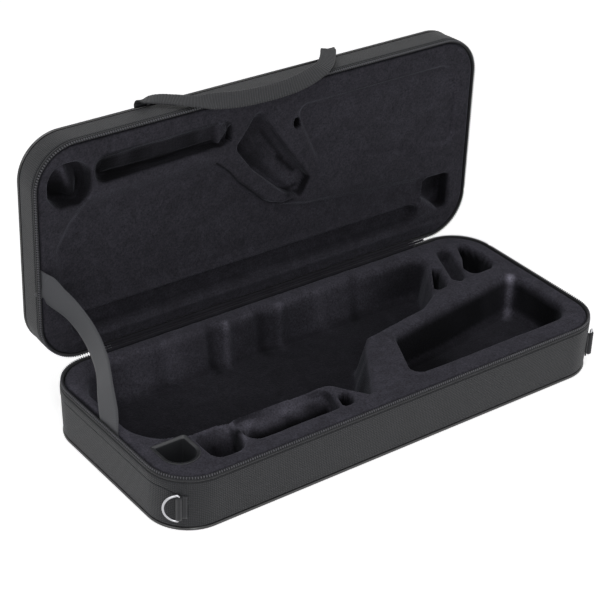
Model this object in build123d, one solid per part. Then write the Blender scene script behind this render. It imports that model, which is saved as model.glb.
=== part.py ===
from build123d import *
import math
import os

os.makedirs("parts", exist_ok=True)

# Alto saxophone case, in millimetres. The origin is the centre of the underside, +X runs along the case,
# -Y is the front and +Z is up. The lid is drawn closed on the base and then turned open about its hinge.

# Outer sizes
length = 660
width = 288
base_height = 74
lid_height = 44
corner_radius = 57
wall_lean = 2.5
open_angle = 90

# Layers of the wall, from outside to inside
cover_thickness = 1.2
board_thickness = 2.8
floor_thickness = 3.2
piping_radius = 1.8
rim_gap = 0.2

# Zip and hinge
zip_band = 6
coil_width = 2.2
coil_height = 1.8
zip_back_run = 95
hinge_strip_height = 1.2
welt_radius = 1.5
turning_clearance = 0.3

# Moulded liner
end_margin = 27
back_margin = 25
front_shelf = 80
main_depth = 58
storage_depth = 54
storage_margin = 27
storage_length = 267
front_margin = 36
trough_length = 147
trough_width = 34
trough_depth = 26
trough_well_depth = 38
pocket_length = 46
pocket_depth = 40
divider_thickness = 8
trough_front = 31
trough_setback = 91
well_radius = 10
well_inset = 13
pocket_width = 48
pocket_front = 25
corner_pocket_depth = 42
side_pocket_depth = 40
saddle_length = 84
saddle_width = 22
saddle_depth = 20
saddle_end = 80
saddle_back = 68
saddle_angle = 66

# Free edges of the hollows. block_edge starts at the storage hollow's front left corner,
# and the others at the case's back right corner
block_edge = [(-98, 44), (-70, 0), (-66, 0), (2, 100), (112, 118)]
ridge_edge = [(-147, -114), (-90, -25)]
side_pocket_edge = [(-140, -111), (-118, -107), (-103, -74), (-104, -60)]
corner_pocket_edge = [(-69, -104), (-30, -104), (-24, -68), (-29, -35), (-39, -36), (-50, -60), (-69, -84)]

# Accessory cup
cup_end = 49
cup_front = 87
cup_opening_width = 38
cup_opening_length = 43
cup_wall = 1.6
cup_flange = 7
cup_flange_thickness = 1.4
cup_depth = 44
cup_clearance = 0.3

# Lid recesses
horn_recess_depth = 7
round_pocket_length = 59
round_pocket_width = 54
round_pocket_corner = 24
round_pocket_depth = 24
round_pocket_end = 19
round_pocket_front = 29
lid_trough_length = 190
lid_trough_width = 32
lid_trough_depth = 17
lid_trough_end = 84
lid_trough_front = 32
back_trough_left = 45
back_trough_right = 82
back_trough_width = 30
back_trough_back = 29
back_trough_depth = 16
leaf_depth = 23
storage_recess_depth = 5
small_pocket_length = 46
small_pocket_width = 50
small_pocket_depth = 20
small_pocket_end = 32
small_pocket_back = 40
slot_length = 16
slot_width = 10
slot_depth = 10

# Free edges of the lid's recesses: horn_edge starts at the case's front left corner, and leaf_edge
# at the storage hollow's front left corner
horn_edge = [
    (29, 224),
    (29, 134),
    (46, 106),
    (68, 85),
    (246, 83),
    (285, 117),
    (323, 153),
    (350, 165),
    (390, 175),
    (486, 184),
    (582, 194),
    (592, 224),
]
leaf_edge = [(-53, -8), (-88, 34), (-58, 74), (-12, 116), (16, 128), (29, 104), (2, 70)]

# Stay strap
strap_width = 36
strap_thickness = 1.6
strap_tail = 16
strap_base_place = -2
strap_lid_place = 29

# D-rings and their tabs
ring_wire_radius = 1.6
ring_radius = 17.5
ring_height = 34
ring_angle = 46
ring_lean = 8
ring_stand_off = 1
tab_side_gap = 0.8
tab_thickness = 1.8
tab_reach = 9
ring_clearance = 0.05

# Carry handle
handle_width = 20
handle_thickness = 2.2
handle_left = -158
handle_right = 117
handle_clearance = 0.5
anchor_length = 34
anchor_inset = 6
anchor_thickness = 1.6

# Zip sliders
slider_length = 11
slider_width = 9
slider_thickness = 4.5
slider_gap = 0.2
slider_rest = 8
slider_drop = 1.5
ear_thickness = 1.2
pull_length = 24
pull_width = 7
pull_thickness = 1.4
pull_pin_radius = 0.9
pull_clearance = 0.1
knuckle_wall = 0.9

half_length = length / 2
half_width = width / 2
seam_height = base_height - zip_band
board_top = base_height - rim_gap - coil_height
board_foot = 2 * piping_radius
lid_seam = zip_band
lid_board_top = rim_gap + coil_height
lid_board_foot = lid_height - 2 * piping_radius
wall_thickness = cover_thickness + board_thickness
tab_width = 2 * (ring_radius - ring_wire_radius - tab_side_gap)
hinge_length = length - 2 * zip_back_run
slider_place = hinge_length / 2 + slider_rest
hinge_axis = Axis((0, half_width, base_height), (1, 0, 0))


def opened(shape):
    # turns a piece of the closed lid to where it stands open
    return shape.rotate(hinge_axis, -open_angle)


def outline(inset):
    return RectangleRounded(length - 2 * inset, width - 2 * inset, corner_radius - inset)


def base_lean(height):
    return wall_lean * (1 - height / base_height)


def lid_lean(height):
    return wall_lean * height / lid_height


def base_block(gap, low, high):
    # a block that follows the leaning base walls, gap inside their outer face
    bottom = Plane.XY.offset(low) * outline(gap + base_lean(low))
    top = Plane.XY.offset(high) * outline(gap + base_lean(high))
    return loft([bottom, top], ruled=True)


def lid_block(gap, low, high):
    # the same for the closed lid, with heights counted up from the rim
    bottom = Plane.XY.offset(base_height + low) * outline(gap + lid_lean(low))
    top = Plane.XY.offset(base_height + high) * outline(gap + lid_lean(high))
    return loft([bottom, top], ruled=True)


def base_ring(outer_gap, inner_gap, low, high):
    return base_block(outer_gap, low, high) - base_block(inner_gap, low, high)


def lid_ring(outer_gap, inner_gap, low, high):
    return lid_block(outer_gap, low, high) - lid_block(inner_gap, low, high)


def hinge_zone():
    # the stretch along the back that the zip leaves to the hinge
    height = base_height + lid_height
    return Pos(0, half_width, base_height) * Box(hinge_length, 4 * wall_thickness, height)


def hinge_rod(radius, rod_length):
    return Pos(0, half_width, base_height) * Rot(0, 90, 0) * Cylinder(radius, rod_length)


def piping_tube(inset, height):
    path = Plane.XY.offset(height) * outline(inset)
    wire = path.wires()[0]
    start = Plane(origin=wire @ 0, z_dir=wire % 0)
    return sweep(start * Circle(piping_radius), path=wire)


def polygon(points, radii):
    return make_face(FilletPolyline(*points, radius=radii, close=True))


def well(shape, floor, top):
    # a straight-sided hollow from its floor to just above the liner's face
    return Plane.XY.offset(floor) * extrude(shape, top - floor + 1)


def base_board():
    shell = base_block(cover_thickness, board_foot, board_top)
    foot = base_block(board_foot, cover_thickness, board_foot)
    hollow = base_block(wall_thickness, cover_thickness + floor_thickness, board_top)
    return shell + foot - hollow


def lid_board():
    shell = lid_block(cover_thickness, lid_board_top, lid_board_foot)
    crown = lid_block(board_foot, lid_board_foot, lid_height - cover_thickness)
    hollow = lid_block(wall_thickness, lid_board_top, lid_height - cover_thickness - floor_thickness)
    return shell + crown - hollow


def placed(corner, offsets):
    return [(corner[0] + x, corner[1] + y) for x, y in offsets]


def storage_corner():
    # the storage hollow's front left corner
    return (half_length - storage_margin - storage_length, -half_width + front_margin)


def main_outline():
    # the hollow that holds the body and bell of the instrument
    left = -half_length + end_margin
    back = half_width - back_margin
    front = -half_width + front_shelf
    points = [(left, back), (left, front)]
    points += placed(storage_corner(), block_edge)
    points += placed((half_length, half_width), ridge_edge)
    return polygon(points, [48, 72, 20, 1.5, 1.5, 9, 50, 12, 14])


def storage_outline(lift=0):
    left, front = storage_corner()
    right = half_length - storage_margin
    points = [
        (left, front),
        (right, front),
        (right, front + 120 - lift),
        (left + 38, front + 82 - lift),
    ]
    return polygon(points, [14, 34, 18, 12])


def corner_pocket_outline():
    points = placed((half_length, half_width), corner_pocket_edge)
    return polygon(points, [4, 10, 30, 4, 4, 30, 6])


def side_pocket_outline():
    # the narrow pocket between the main hollow's end ridge and the saddle
    points = placed((half_length, half_width), side_pocket_edge)
    return polygon(points, [3, 6, 6, 1.5])


def saddle_outline():
    # the shallow rest between the side pocket and the corner pocket
    place = Pos(half_length - saddle_end, half_width - saddle_back) * Rot(0, 0, saddle_angle)
    return place * SlotOverall(saddle_length, saddle_width)


def cup_centre():
    return Pos(-half_length + cup_end, -half_width + cup_front)


def d_shape(shape_width, shape_length):
    # flat at the back and round at the front, placed by the middle of its flat side
    radius = shape_width / 2
    straight = shape_length - radius
    flat = Pos(0, -straight / 2) * Rectangle(shape_width, straight)
    return flat + Pos(0, -straight) * Circle(radius)


def accessory_cup():
    top = board_top
    body = cup_centre() * d_shape(cup_opening_width + 2 * cup_wall, cup_opening_length + 2 * cup_wall)
    hollow = cup_centre() * Pos(0, -cup_wall) * d_shape(cup_opening_width, cup_opening_length)
    flange_width = cup_opening_width + 2 * cup_flange
    flange_length = cup_opening_length + 2 * cup_flange
    flange = cup_centre() * Pos(0, cup_flange - cup_wall) * d_shape(flange_width, flange_length)
    cup = Plane.XY.offset(top - cup_depth) * extrude(body, cup_depth)
    cup += Plane.XY.offset(top) * extrude(flange, cup_flange_thickness)
    return cup - Plane.XY.offset(top - cup_depth + cup_wall) * extrude(hollow, cup_depth)


def base_wells():
    top = board_top
    trough_right = storage_corner()[0] - trough_setback
    trough_left = trough_right - trough_length
    trough_middle = -half_width + trough_front + trough_width / 2
    trough_place = Pos((trough_left + trough_right) / 2, trough_middle)
    trough = well(trough_place * SlotOverall(trough_length, trough_width), top - trough_depth, top)
    foot = trough.faces().sort_by(Axis.Z)[0].edges()
    trough = fillet(foot, trough_width / 3)
    well_place = Pos(trough_right - well_inset, trough_middle)
    trough_well = well(well_place * Circle(well_radius), top - trough_well_depth, top)
    pocket_x = trough_left - divider_thickness - pocket_length / 2
    pocket_y = -half_width + pocket_front + pocket_width / 2
    pocket_shape = Pos(pocket_x, pocket_y) * RectangleRounded(pocket_length, pocket_width, 20)
    cup_shape = cup_centre() * Pos(0, cup_clearance) * d_shape(
        cup_opening_width + 2 * (cup_wall + cup_clearance),
        cup_opening_length + 2 * (cup_wall + cup_clearance),
    )
    return [
        well(main_outline(), top - main_depth, top),
        well(storage_outline(), top - storage_depth, top),
        well(corner_pocket_outline(), top - corner_pocket_depth, top),
        well(side_pocket_outline(), top - side_pocket_depth, top),
        well(saddle_outline(), top - saddle_depth, top),
        trough,
        trough_well,
        well(pocket_shape, top - pocket_depth, top),
        well(cup_shape, top - cup_depth, top),
    ]


def base_liner():
    liner = base_block(wall_thickness, cover_thickness + floor_thickness, board_top)
    for hollow in base_wells():
        liner -= hollow
    return liner - strap_slot(strap_base_place, board_top - strap_tail / 2)


def from_front_left(end, front, shape_length, shape_width):
    # the place of a shape whose sides stand this far in from the left end and the front
    return Pos(-half_length + end + shape_length / 2, -half_width + front + shape_width / 2)


def lid_shapes():
    # the outline and depth of each of the lid's recesses
    round_size = (round_pocket_length, round_pocket_width)
    round_place = from_front_left(round_pocket_end, round_pocket_front, *round_size)
    trough_place = from_front_left(lid_trough_end, lid_trough_front, lid_trough_length, lid_trough_width)
    back_length = length - back_trough_left - back_trough_right
    back_front = width - back_trough_back - back_trough_width
    back_place = from_front_left(back_trough_left, back_front, back_length, back_trough_width)
    small_left = length - small_pocket_end - small_pocket_length
    small_front = width - small_pocket_back - small_pocket_width
    small_place = from_front_left(small_left, small_front, small_pocket_length, small_pocket_width)
    slot_x, slot_y = storage_corner()
    slot_place = Pos(slot_x + slot_width, slot_y + 1.5 * slot_length) * Rot(0, 0, 90)
    horn_radii = [16, 20, 10, 8, 12, 30, 20, 12, 20, 30, 8, 12]
    horn = polygon(placed((-half_length, -half_width), horn_edge), horn_radii)
    leaf = polygon(placed(storage_corner(), leaf_edge), [6, 10, 40, 40, 6, 6, 60])
    return [
        (horn, horn_recess_depth),
        (round_place * RectangleRounded(*round_size, round_pocket_corner), round_pocket_depth),
        (trough_place * SlotOverall(lid_trough_length, lid_trough_width), lid_trough_depth),
        (back_place * SlotOverall(back_length, back_trough_width), back_trough_depth),
        (leaf, leaf_depth),
        (storage_outline(2), storage_recess_depth),
        (small_place * RectangleRounded(small_pocket_length, small_pocket_width, 12), small_pocket_depth),
        (slot_place * SlotOverall(slot_length, slot_width), slot_depth),
    ]


def lid_wells():
    # drawn on the closed lid, each from the liner's face up into it
    face = base_height + lid_board_top
    return [Plane.XY.offset(face - 1) * extrude(shape, depth + 1) for shape, depth in lid_shapes()]


def lid_liner():
    liner = lid_block(wall_thickness, lid_board_top, lid_height - cover_thickness - floor_thickness)
    for hollow in lid_wells():
        liner -= hollow
    return liner - strap_slot(strap_lid_place, base_height + lid_board_top + strap_tail / 2)


def strap_x():
    # the tail hangs straight, clear of the leaning board at its deepest point
    deepest = strap_tail + lid_board_top
    return -half_length + wall_thickness + wall_lean * deepest / lid_height + strap_thickness / 2


def strap_slot(y, z):
    # the room for the strap's sewn end, between the board and the liner
    return Pos(strap_x(), y, z) * Box(strap_thickness, strap_width, strap_tail)


def ribbon(stations, ribbon_width, ribbon_thickness):
    # a flat band through its stations: each has a middle point and the direction of the band's width,
    # and one where the band runs straight has its direction of travel too
    sections = []
    for i, station in enumerate(stations):
        middle, across = station[:2]
        if len(station) == 3:
            along = Vector(station[2])
        else:
            along = (Vector(stations[i + 1][0]) - Vector(stations[i - 1][0])).normalized()
        side = Vector(across)
        side = (side - along * side.dot(along)).normalized() * (ribbon_width / 2)
        face = along.cross(side).normalized() * (ribbon_thickness / 2)
        centre = Vector(middle)
        corners = [centre + side + face, centre - side + face, centre - side - face, centre + side - face]
        sections.append(Wire.make_polygon(corners, close=True))
    return Solid.make_loft(sections, ruled=True)


def stay_strap():
    # slack, from the base's left wall up and back to the lid's, turning a quarter round on the way
    x = strap_x()
    lid_y = half_width + lid_board_top
    lid_z = base_height + half_width - strap_lid_place
    low_y = strap_base_place
    up = (0, 0, 1)
    back = (0, 1, 0)
    stations = [
        ((x, low_y, board_top - strap_tail), (0, 1, 0), up),
        ((x, low_y, board_top), (0, 1, 0), up),
        ((x + 2.5, low_y + 6, board_top + 12), (-0.1, 0.93, -0.35), (0.25, 0.35, 0.9)),
        ((x + 12, low_y + 29, board_top + 29), (-0.2, 0.65, -0.73)),
        ((x + 26, low_y + 60, board_top + 46), (-0.15, 0.5, -0.85)),
        ((x + 33, low_y + 95, board_top + 62), (-0.1, 0.5, -0.86)),
        ((x + 28, lid_y - 26, lid_z - 36), (-0.1, 0.55, -0.83)),
        ((x + 12, lid_y - 10, lid_z - 15), (-0.1, 0.35, -0.93)),
        ((x, lid_y, lid_z), (0, 0, -1), back),
        ((x, lid_y + strap_tail, lid_z), (0, 0, -1), back),
    ]
    return ribbon(stations, strap_width, strap_thickness)


def ring_place(side):
    # the middle of the ring's bar, on the front corner of the given end
    reach = corner_radius + ring_wire_radius + ring_stand_off
    angle = math.radians(ring_angle)
    x = side * (half_length - corner_radius + reach * math.cos(angle))
    y = -half_width + corner_radius - reach * math.sin(angle)
    return Vector(x, y, ring_height)


def d_ring(side):
    # a wire D that lies back along the end wall from its upright bar
    loop = Rot(90, 0, 0) * Torus(ring_radius, ring_wire_radius)
    half_loop = loop & Pos(ring_radius, 0, 0) * Box(2 * ring_radius, 4 * ring_radius, 4 * ring_radius)
    ring = half_loop + Cylinder(ring_wire_radius, 2 * ring_radius)
    for end in (-1, 1):
        ring += Pos(0, 0, end * ring_radius) * Sphere(ring_wire_radius)
    turn = 90 - side * (ring_angle + ring_lean)
    return Pos(ring_place(side)) * Rot(0, 0, turn) * ring


def ring_tab(side):
    # a webbing patch sewn round the corner, folded into a loop about the ring's bar
    low = ring_height - tab_width / 2
    high = ring_height + tab_width / 2
    corner = Vector(side * (half_length - corner_radius), -half_width + corner_radius, low)
    rays = []
    for angle in (ring_angle, ring_angle + tab_reach):
        direction = Vector(side * math.cos(math.radians(angle)), -math.sin(math.radians(angle)))
        rays.append(corner + direction * 2 * corner_radius)
    sector = make_face(Polyline(corner, rays[0], rays[1], close=True))
    sector = extrude(sector, tab_width, dir=(0, 0, 1))
    patch = base_ring(-tab_thickness, 0, low, high) & sector
    hole = ring_wire_radius + ring_clearance
    place = Pos(ring_place(side))
    loop = place * Cylinder(hole + tab_thickness * 0.8, tab_width)
    loop -= base_block(0, low - 1, high + 1)
    return patch + loop - place * Cylinder(hole, 4 * tab_width)


def handle_anchor(x):
    # where the handle's end is sewn to the lid's outer panel, drawn on the closed lid
    y = -half_width + anchor_inset + anchor_length / 2
    z = base_height + lid_height + anchor_thickness / 2
    return opened(Pos(x, y, z) * Box(handle_width + 2, anchor_length, anchor_thickness))


def carry_handle():
    # a webbing loop that leaves the lid's outer panel, falls over its front wall and hangs at the rim
    top = base_height + width
    outer = half_width + lid_height
    rim = half_width
    left = handle_left
    right = handle_right
    end_y = outer + handle_clearance + handle_thickness / 2
    end_z = top - anchor_inset + handle_clearance
    up = (0, 0, 1)
    down = (0, 0, -1)
    stations = [
        ((left, end_y, end_z), (1, 0, 0), up),
        ((left, outer + 2.6, top + 1), (1, 0, 0)),
        ((left + 1.5, outer + 1, top + 6), (0.98, 0.15, 0)),
        ((left + 6.5, outer - 4.5, top + 8), (0.8, 0.58, 0.05)),
        ((left + 17.5, outer - 11.5, top + 7.5), (0.57, 0.79, 0.18)),
        ((left + 28, rim + 22, top + 7), (0.53, 0.82, 0.2)),
        ((left + 38.5, rim + 9.5, top + 8), (0.55, 0.8, 0.23)),
        ((left + 55, rim - 1.5, top + 7), (0.5, 0.75, 0.4)),
        ((left + 77, rim - 4.5, top + 4), (0.3, 0.45, 0.83)),
        ((left + 106.5, rim - 5, top - 0.5), (0.15, 0.35, 0.92)),
        ((left + 137, rim - 5, top - 2.5), (0, 0.3, 0.95)),
        ((right - 108, rim - 5, top - 2.5), (-0.05, 0.3, 0.95)),
        ((right - 83, rim - 5, top), (-0.15, 0.45, 0.88)),
        ((right - 62, rim - 3.5, top + 4), (-0.2, 0.7, 0.68)),
        ((right - 42, rim + 1.5, top + 8), (-0.25, 0.88, 0.4)),
        ((right - 22.5, rim + 17.5, top + 8.5), (-0.42, 0.88, 0.18)),
        ((right - 3.5, outer - 4, top + 8), (-0.72, 0.68, 0.1)),
        ((right - 0.5, outer + 1.5, top + 6.5), (-0.98, 0.15, 0)),
        ((right, outer + 2.6, top + 1), (-1, 0, 0)),
        ((right, end_y, end_z), (-1, 0, 0), down),
    ]
    return ribbon(stations, handle_width, handle_thickness)


def slider_centre(side):
    # the slider's body, parked on the back wall at the end of its zip
    y = half_width + slider_gap + slider_thickness / 2
    return Vector(side * slider_place, y, seam_height - slider_drop)


def pull_axis(side):
    centre = slider_centre(side)
    knuckle = pull_pin_radius + pull_clearance + knuckle_wall
    return Vector(centre.X, centre.Y + slider_thickness / 2 + knuckle + turning_clearance, centre.Z)


def zip_slider(side):
    body = Box(slider_length, slider_thickness, slider_width)
    body = fillet(body.edges().filter_by(Axis.Y), 2.4)
    slider = Pos(slider_centre(side)) * body
    pin = pull_axis(side)
    ear_end = pin.Y + pull_pin_radius + ear_thickness / 2
    ear_reach = ear_end - (half_width + slider_thickness)
    ear_x = (pull_width - ear_thickness) / 2
    ear_height = 2.5 * ear_thickness
    for end in (-1, 1):
        ear = Box(ear_thickness, ear_reach, ear_height)
        slider += Pos(pin.X + end * ear_x, ear_end - ear_reach / 2, pin.Z) * ear
    return slider + Pos(pin) * Rot(0, 90, 0) * Cylinder(pull_pin_radius, pull_width - 1)


def zip_pull(side):
    hole = pull_pin_radius + pull_clearance
    knuckle_length = pull_width - 3
    tab = Box(pull_width, pull_thickness, pull_length - 5)
    tab = fillet(tab.edges().filter_by(Axis.Y), 2)
    tab = Pos(0, 0, -5 - (pull_length - 5) / 2) * tab
    neck = Pos(0, 0, -3.5) * Box(knuckle_length, pull_thickness, 5)
    knuckle = Rot(0, 90, 0) * Cylinder(hole + knuckle_wall, knuckle_length)
    pull = tab + neck + knuckle - Rot(0, 90, 0) * Cylinder(hole, 2 * pull_width)
    return Pos(pull_axis(side)) * pull


def base_pieces():
    zone = hinge_zone()
    welt = hinge_rod(welt_radius, hinge_length)
    piping = piping_tube(piping_radius + base_lean(board_foot), piping_radius)
    strip_top = board_top + hinge_strip_height
    tape = base_ring(0, cover_thickness, seam_height, strip_top)
    coil = base_ring(cover_thickness, cover_thickness + coil_width, board_top, board_top + coil_height)
    strip = tape + base_ring(cover_thickness, cover_thickness + coil_width, board_top, strip_top)
    return {
        "base_board": base_board(),
        "base_cover": base_ring(0, cover_thickness, board_foot, seam_height),
        "base_bottom_panel": base_block(board_foot, 0, cover_thickness),
        "base_piping": piping,
        "base_zip_tape": tape - zone,
        "base_zip_coil": coil - zone,
        "hinge_strip_base": (strip & zone) - welt,
        "hinge_welt": welt,
        "base_liner": base_liner(),
        "accessory_cup": accessory_cup(),
    }


def lid_pieces():
    zone = hinge_zone()
    clear_of_welt = hinge_rod(welt_radius + turning_clearance, hinge_length + 2)
    piping = piping_tube(piping_radius + lid_lean(lid_board_foot), base_height + lid_height - piping_radius)
    strip_foot = lid_board_top - hinge_strip_height
    coil_inner = cover_thickness + coil_width
    tape = lid_ring(0, cover_thickness, strip_foot, lid_seam)
    coil = lid_ring(cover_thickness, coil_inner, rim_gap, lid_board_top)
    strip = tape + lid_ring(cover_thickness, coil_inner, strip_foot, lid_board_top)
    closed = {
        "lid_board": lid_board() - clear_of_welt,
        "lid_cover": lid_ring(0, cover_thickness, lid_seam, lid_board_foot),
        "lid_outer_panel": lid_block(board_foot, lid_height - cover_thickness, lid_height),
        "lid_piping": piping,
        "lid_zip_tape": tape - zone,
        "lid_zip_coil": coil - zone,
        "hinge_strip_lid": (strip & zone) - clear_of_welt,
        "lid_liner": lid_liner(),
    }
    return {name: opened(shape) for name, shape in closed.items()}


def loose_pieces():
    pieces = {
        "stay_strap": stay_strap(),
        "carry_handle": carry_handle(),
        "handle_anchor_left": handle_anchor(handle_left),
        "handle_anchor_right": handle_anchor(handle_right),
    }
    for side, name in ((-1, "left"), (1, "right")):
        pieces["d_ring_" + name] = d_ring(side)
        pieces["d_ring_tab_" + name] = ring_tab(side)
        pieces["zip_slider_" + name] = zip_slider(side)
        pieces["zip_pull_" + name] = zip_pull(side)
    return pieces


for group in (base_pieces(), lid_pieces(), loose_pieces()):
    for name, shape in group.items():
        export_step(shape, "parts/" + name + ".step")
        print(name, round(shape.volume / 1000, 1), "cm3")
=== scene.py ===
import bpy
import bmesh
import numpy as np
from math import asin, atan2, ceil, cos, degrees, hypot, pi, radians, sin, sqrt
from mathutils import Matrix, Vector


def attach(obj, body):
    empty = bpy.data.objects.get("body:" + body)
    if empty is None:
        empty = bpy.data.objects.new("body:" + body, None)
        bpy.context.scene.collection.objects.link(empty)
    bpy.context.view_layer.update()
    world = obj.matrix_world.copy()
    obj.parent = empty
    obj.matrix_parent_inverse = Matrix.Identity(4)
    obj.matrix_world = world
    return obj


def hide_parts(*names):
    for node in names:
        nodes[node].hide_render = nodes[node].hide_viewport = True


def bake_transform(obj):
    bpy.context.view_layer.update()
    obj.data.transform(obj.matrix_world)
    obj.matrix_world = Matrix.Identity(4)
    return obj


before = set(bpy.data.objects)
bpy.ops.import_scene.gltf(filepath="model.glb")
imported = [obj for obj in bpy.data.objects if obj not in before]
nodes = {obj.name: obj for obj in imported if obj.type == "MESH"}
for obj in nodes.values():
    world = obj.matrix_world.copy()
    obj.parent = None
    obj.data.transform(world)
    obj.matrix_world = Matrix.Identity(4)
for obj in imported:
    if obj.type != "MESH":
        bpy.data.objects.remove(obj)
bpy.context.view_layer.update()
print("frame loaded:", len(nodes), "CAD nodes")

mm = 0.001

# the case's own sizes, in millimetres, as its solids have them
case = {
    "halfLength": 330,
    "halfWidth": 144,
    "cornerRadius": 57,
    "baseHeight": 74,
    "lidHeight": 44,
    "wallLean": 2.5,
    "seamHeight": 68,
    "linerInset": 4.7,
    "hingeHalf": 235,
}


# where points lie

def onBase(points):
    # x, y and height above the table, in millimetres
    return np.asarray(points, float) * mm


def onLid(points):
    # x and y as on the closed lid and the height above its rim, turned to where the lid stands open
    p = np.asarray(points, float)
    back = case["halfWidth"] + p[..., 2]
    up = case["baseHeight"] + case["halfWidth"] - p[..., 1]
    return np.stack([p[..., 0], back, up], -1) * mm


def baseLean(height):
    return case["wallLean"] * (1 - height / case["baseHeight"])


def lidLean(height):
    return case["wallLean"] * height / case["lidHeight"]


# how each body's points are placed, and how its walls lean
sides = {"base": (onBase, baseLean), "lid": (onLid, lidLean)}


def smoothStep(low, high, value):
    t = np.clip((value - low) / (high - low), 0, 1)
    return t * t * (3 - 2 * t)


def unitVector(v):
    return v / np.maximum(np.linalg.norm(v, axis=-1, keepdims=True), 1e-9)


# mesh tools

def finishMesh(name, verts, faces, material, uvs=None, turnOut=True):
    # uvs has one pair for each corner of each face
    mesh = bpy.data.meshes.new(name)
    mesh.from_pydata(np.asarray(verts, float).tolist(), [], [list(map(int, f)) for f in faces])
    if uvs is not None:
        layer = mesh.uv_layers.new(name="metres")
        layer.data.foreach_set("uv", np.asarray(uvs, np.float32).ravel())
    if turnOut:
        work = bmesh.new()
        work.from_mesh(mesh)
        bmesh.ops.recalc_face_normals(work, faces=work.faces)
        work.to_mesh(mesh)
        work.free()
    mesh.polygons.foreach_set("use_smooth", [True] * len(mesh.polygons))
    mesh.materials.append(material)
    piece = bpy.data.objects.new(name, mesh)
    bpy.context.scene.collection.objects.link(piece)
    return piece


def gridPiece(name, points, material, loopAlong=False, uv=None, caps=False):
    # a tube whose rows are its closed cross-sections, joined to a ring or with flat caps on its ends
    rows, cols = points.shape[:2]
    i, j = np.meshgrid(np.arange(rows if loopAlong else rows - 1), np.arange(cols), indexing="ij")
    i2, j2 = i + 1, j + 1
    corners = [(i, j), (i2, j), (i2, j2), (i, j2)]
    faces = np.stack([(a % rows) * cols + b % cols for a, b in corners], -1).reshape(-1, 4).tolist()
    uvs = None
    if uv is not None:
        uvs = np.stack([uv[a, b] for a, b in corners], -2).reshape(-1, 2)
    if caps:
        faces += [list(range(cols)), list(range((rows - 1) * cols, rows * cols))]
        if uvs is not None:
            uvs = np.concatenate([uvs, uv[0, :cols], uv[-1, :cols]])
    return finishMesh(name, points.reshape(-1, 3), faces, material, uvs)


def copies(name, shape, faces, spots, material, place):
    # many copies of one small shape, each at a spot's origin and turned to its three axes
    shape = np.asarray(shape, float)
    count = len(shape)
    verts, allFaces = [], []
    for k, (origin, axes) in enumerate(spots):
        verts.append(origin + shape @ axes)
        allFaces += [[v + k * count for v in f] for f in faces]
    made = finishMesh(name, np.concatenate(verts), allFaces, material)
    laid = np.array([v.co for v in made.data.vertices])
    made.data.vertices.foreach_set("co", place(laid).astype(np.float32).ravel())
    made.data.update()
    return made


def roundedOutline(step, cornerPoints=28):
    # points round the case's plan, with their outward directions
    r = case["cornerRadius"]
    a, b = case["halfLength"] - r, case["halfWidth"] - r
    points, outward = [], []
    for cx, cy, start in ((a, b, 0), (-a, b, 90), (-a, -b, 180), (a, -b, 270)):
        for k in range(cornerPoints + 1):
            t = radians(start + 90 * k / cornerPoints)
            points.append((cx + r * cos(t), cy + r * sin(t)))
            outward.append((cos(t), sin(t)))
    dense, dirs = [], []
    for k in range(len(points)):
        p, q = np.array(points[k]), np.array(points[(k + 1) % len(points)])
        pieces = max(1, int(round(np.linalg.norm(q - p) / step)))
        for m in range(pieces):
            dense.append(p + (q - p) * m / pieces)
            dirs.append(np.array(outward[k]))
    dense, dirs = np.array(dense), np.array(dirs)
    # the back wall's nearest point is moved to each end of the hinge, so that pieces end there
    elsewhere = dirs[:, 1] < 0.99
    for end in (-case["hingeHalf"], case["hingeHalf"]):
        away = np.abs(dense[:, 0] - end) + 1000 * elsewhere
        dense[np.argmin(away), 0] = end
    return dense, dirs


def smoothLoop(corners, spacing=1.5):
    # a closed line through rounded corners, each given as x, y and radius
    n = len(corners)
    out = []
    for k in range(n):
        p0, p1, p2 = (np.array(corners[(k + d) % n][:2], float) for d in (-1, 0, 1))
        radius = corners[k][2]
        u, v = unitVector(p0 - p1), unitVector(p2 - p1)
        half = np.arccos(np.clip(u @ v, -1, 1)) / 2
        reach = radius / max(np.tan(half), 1e-6)
        centre = p1 + unitVector(u + v) * radius / sin(half)
        a, b = p1 + u * reach - centre, p1 + v * reach - centre
        turn = np.arccos(np.clip(a @ b / radius ** 2, -1, 1))
        steps = max(2, int(ceil(turn * radius / spacing)))
        for m in range(steps + 1):
            w = m / steps
            d = a * sin((1 - w) * turn) + b * sin(w * turn)
            out.append(centre + d / max(sin(turn), 1e-6))
    out = np.array(out)
    dense = []
    for p, q in zip(out, np.roll(out, -1, 0)):
        pieces = max(1, int(np.linalg.norm(q - p) / (4 * spacing)))
        dense += [p + (q - p) * m / pieces for m in range(pieces)]
    return np.array(dense)


def edgeDistance(x, y, loop):
    # distance from a closed line, below zero inside it, and the direction out of it
    ax, ay = loop[:, 0], loop[:, 1]
    dx, dy = np.roll(ax, -1) - ax, np.roll(ay, -1) - ay
    size = np.maximum(dx * dx + dy * dy, 1e-12)
    best = np.full(x.shape, 1e9)
    qx, qy = np.zeros(x.shape), np.zeros(x.shape)
    inside = np.zeros(x.shape, bool)
    for k in range(len(loop)):
        t = np.clip(((x - ax[k]) * dx[k] + (y - ay[k]) * dy[k]) / size[k], 0, 1)
        cx, cy = ax[k] + t * dx[k], ay[k] + t * dy[k]
        d = (x - cx) ** 2 + (y - cy) ** 2
        nearer = d < best
        best[nearer], qx[nearer], qy[nearer] = d[nearer], cx[nearer], cy[nearer]
        crosses = (ay[k] > y) != (ay[k] + dy[k] > y)
        if crosses.any():
            inside ^= crosses & (x < ax[k] + dx[k] * (y - ay[k]) / (dy[k] if dy[k] else 1e-12))
    distance = np.sqrt(best)
    sign = np.where(inside, -1.0, 1.0)
    safe = np.maximum(distance, 1e-6)
    return sign * distance, sign * (x - qx) / safe, sign * (y - qy) / safe


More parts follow.
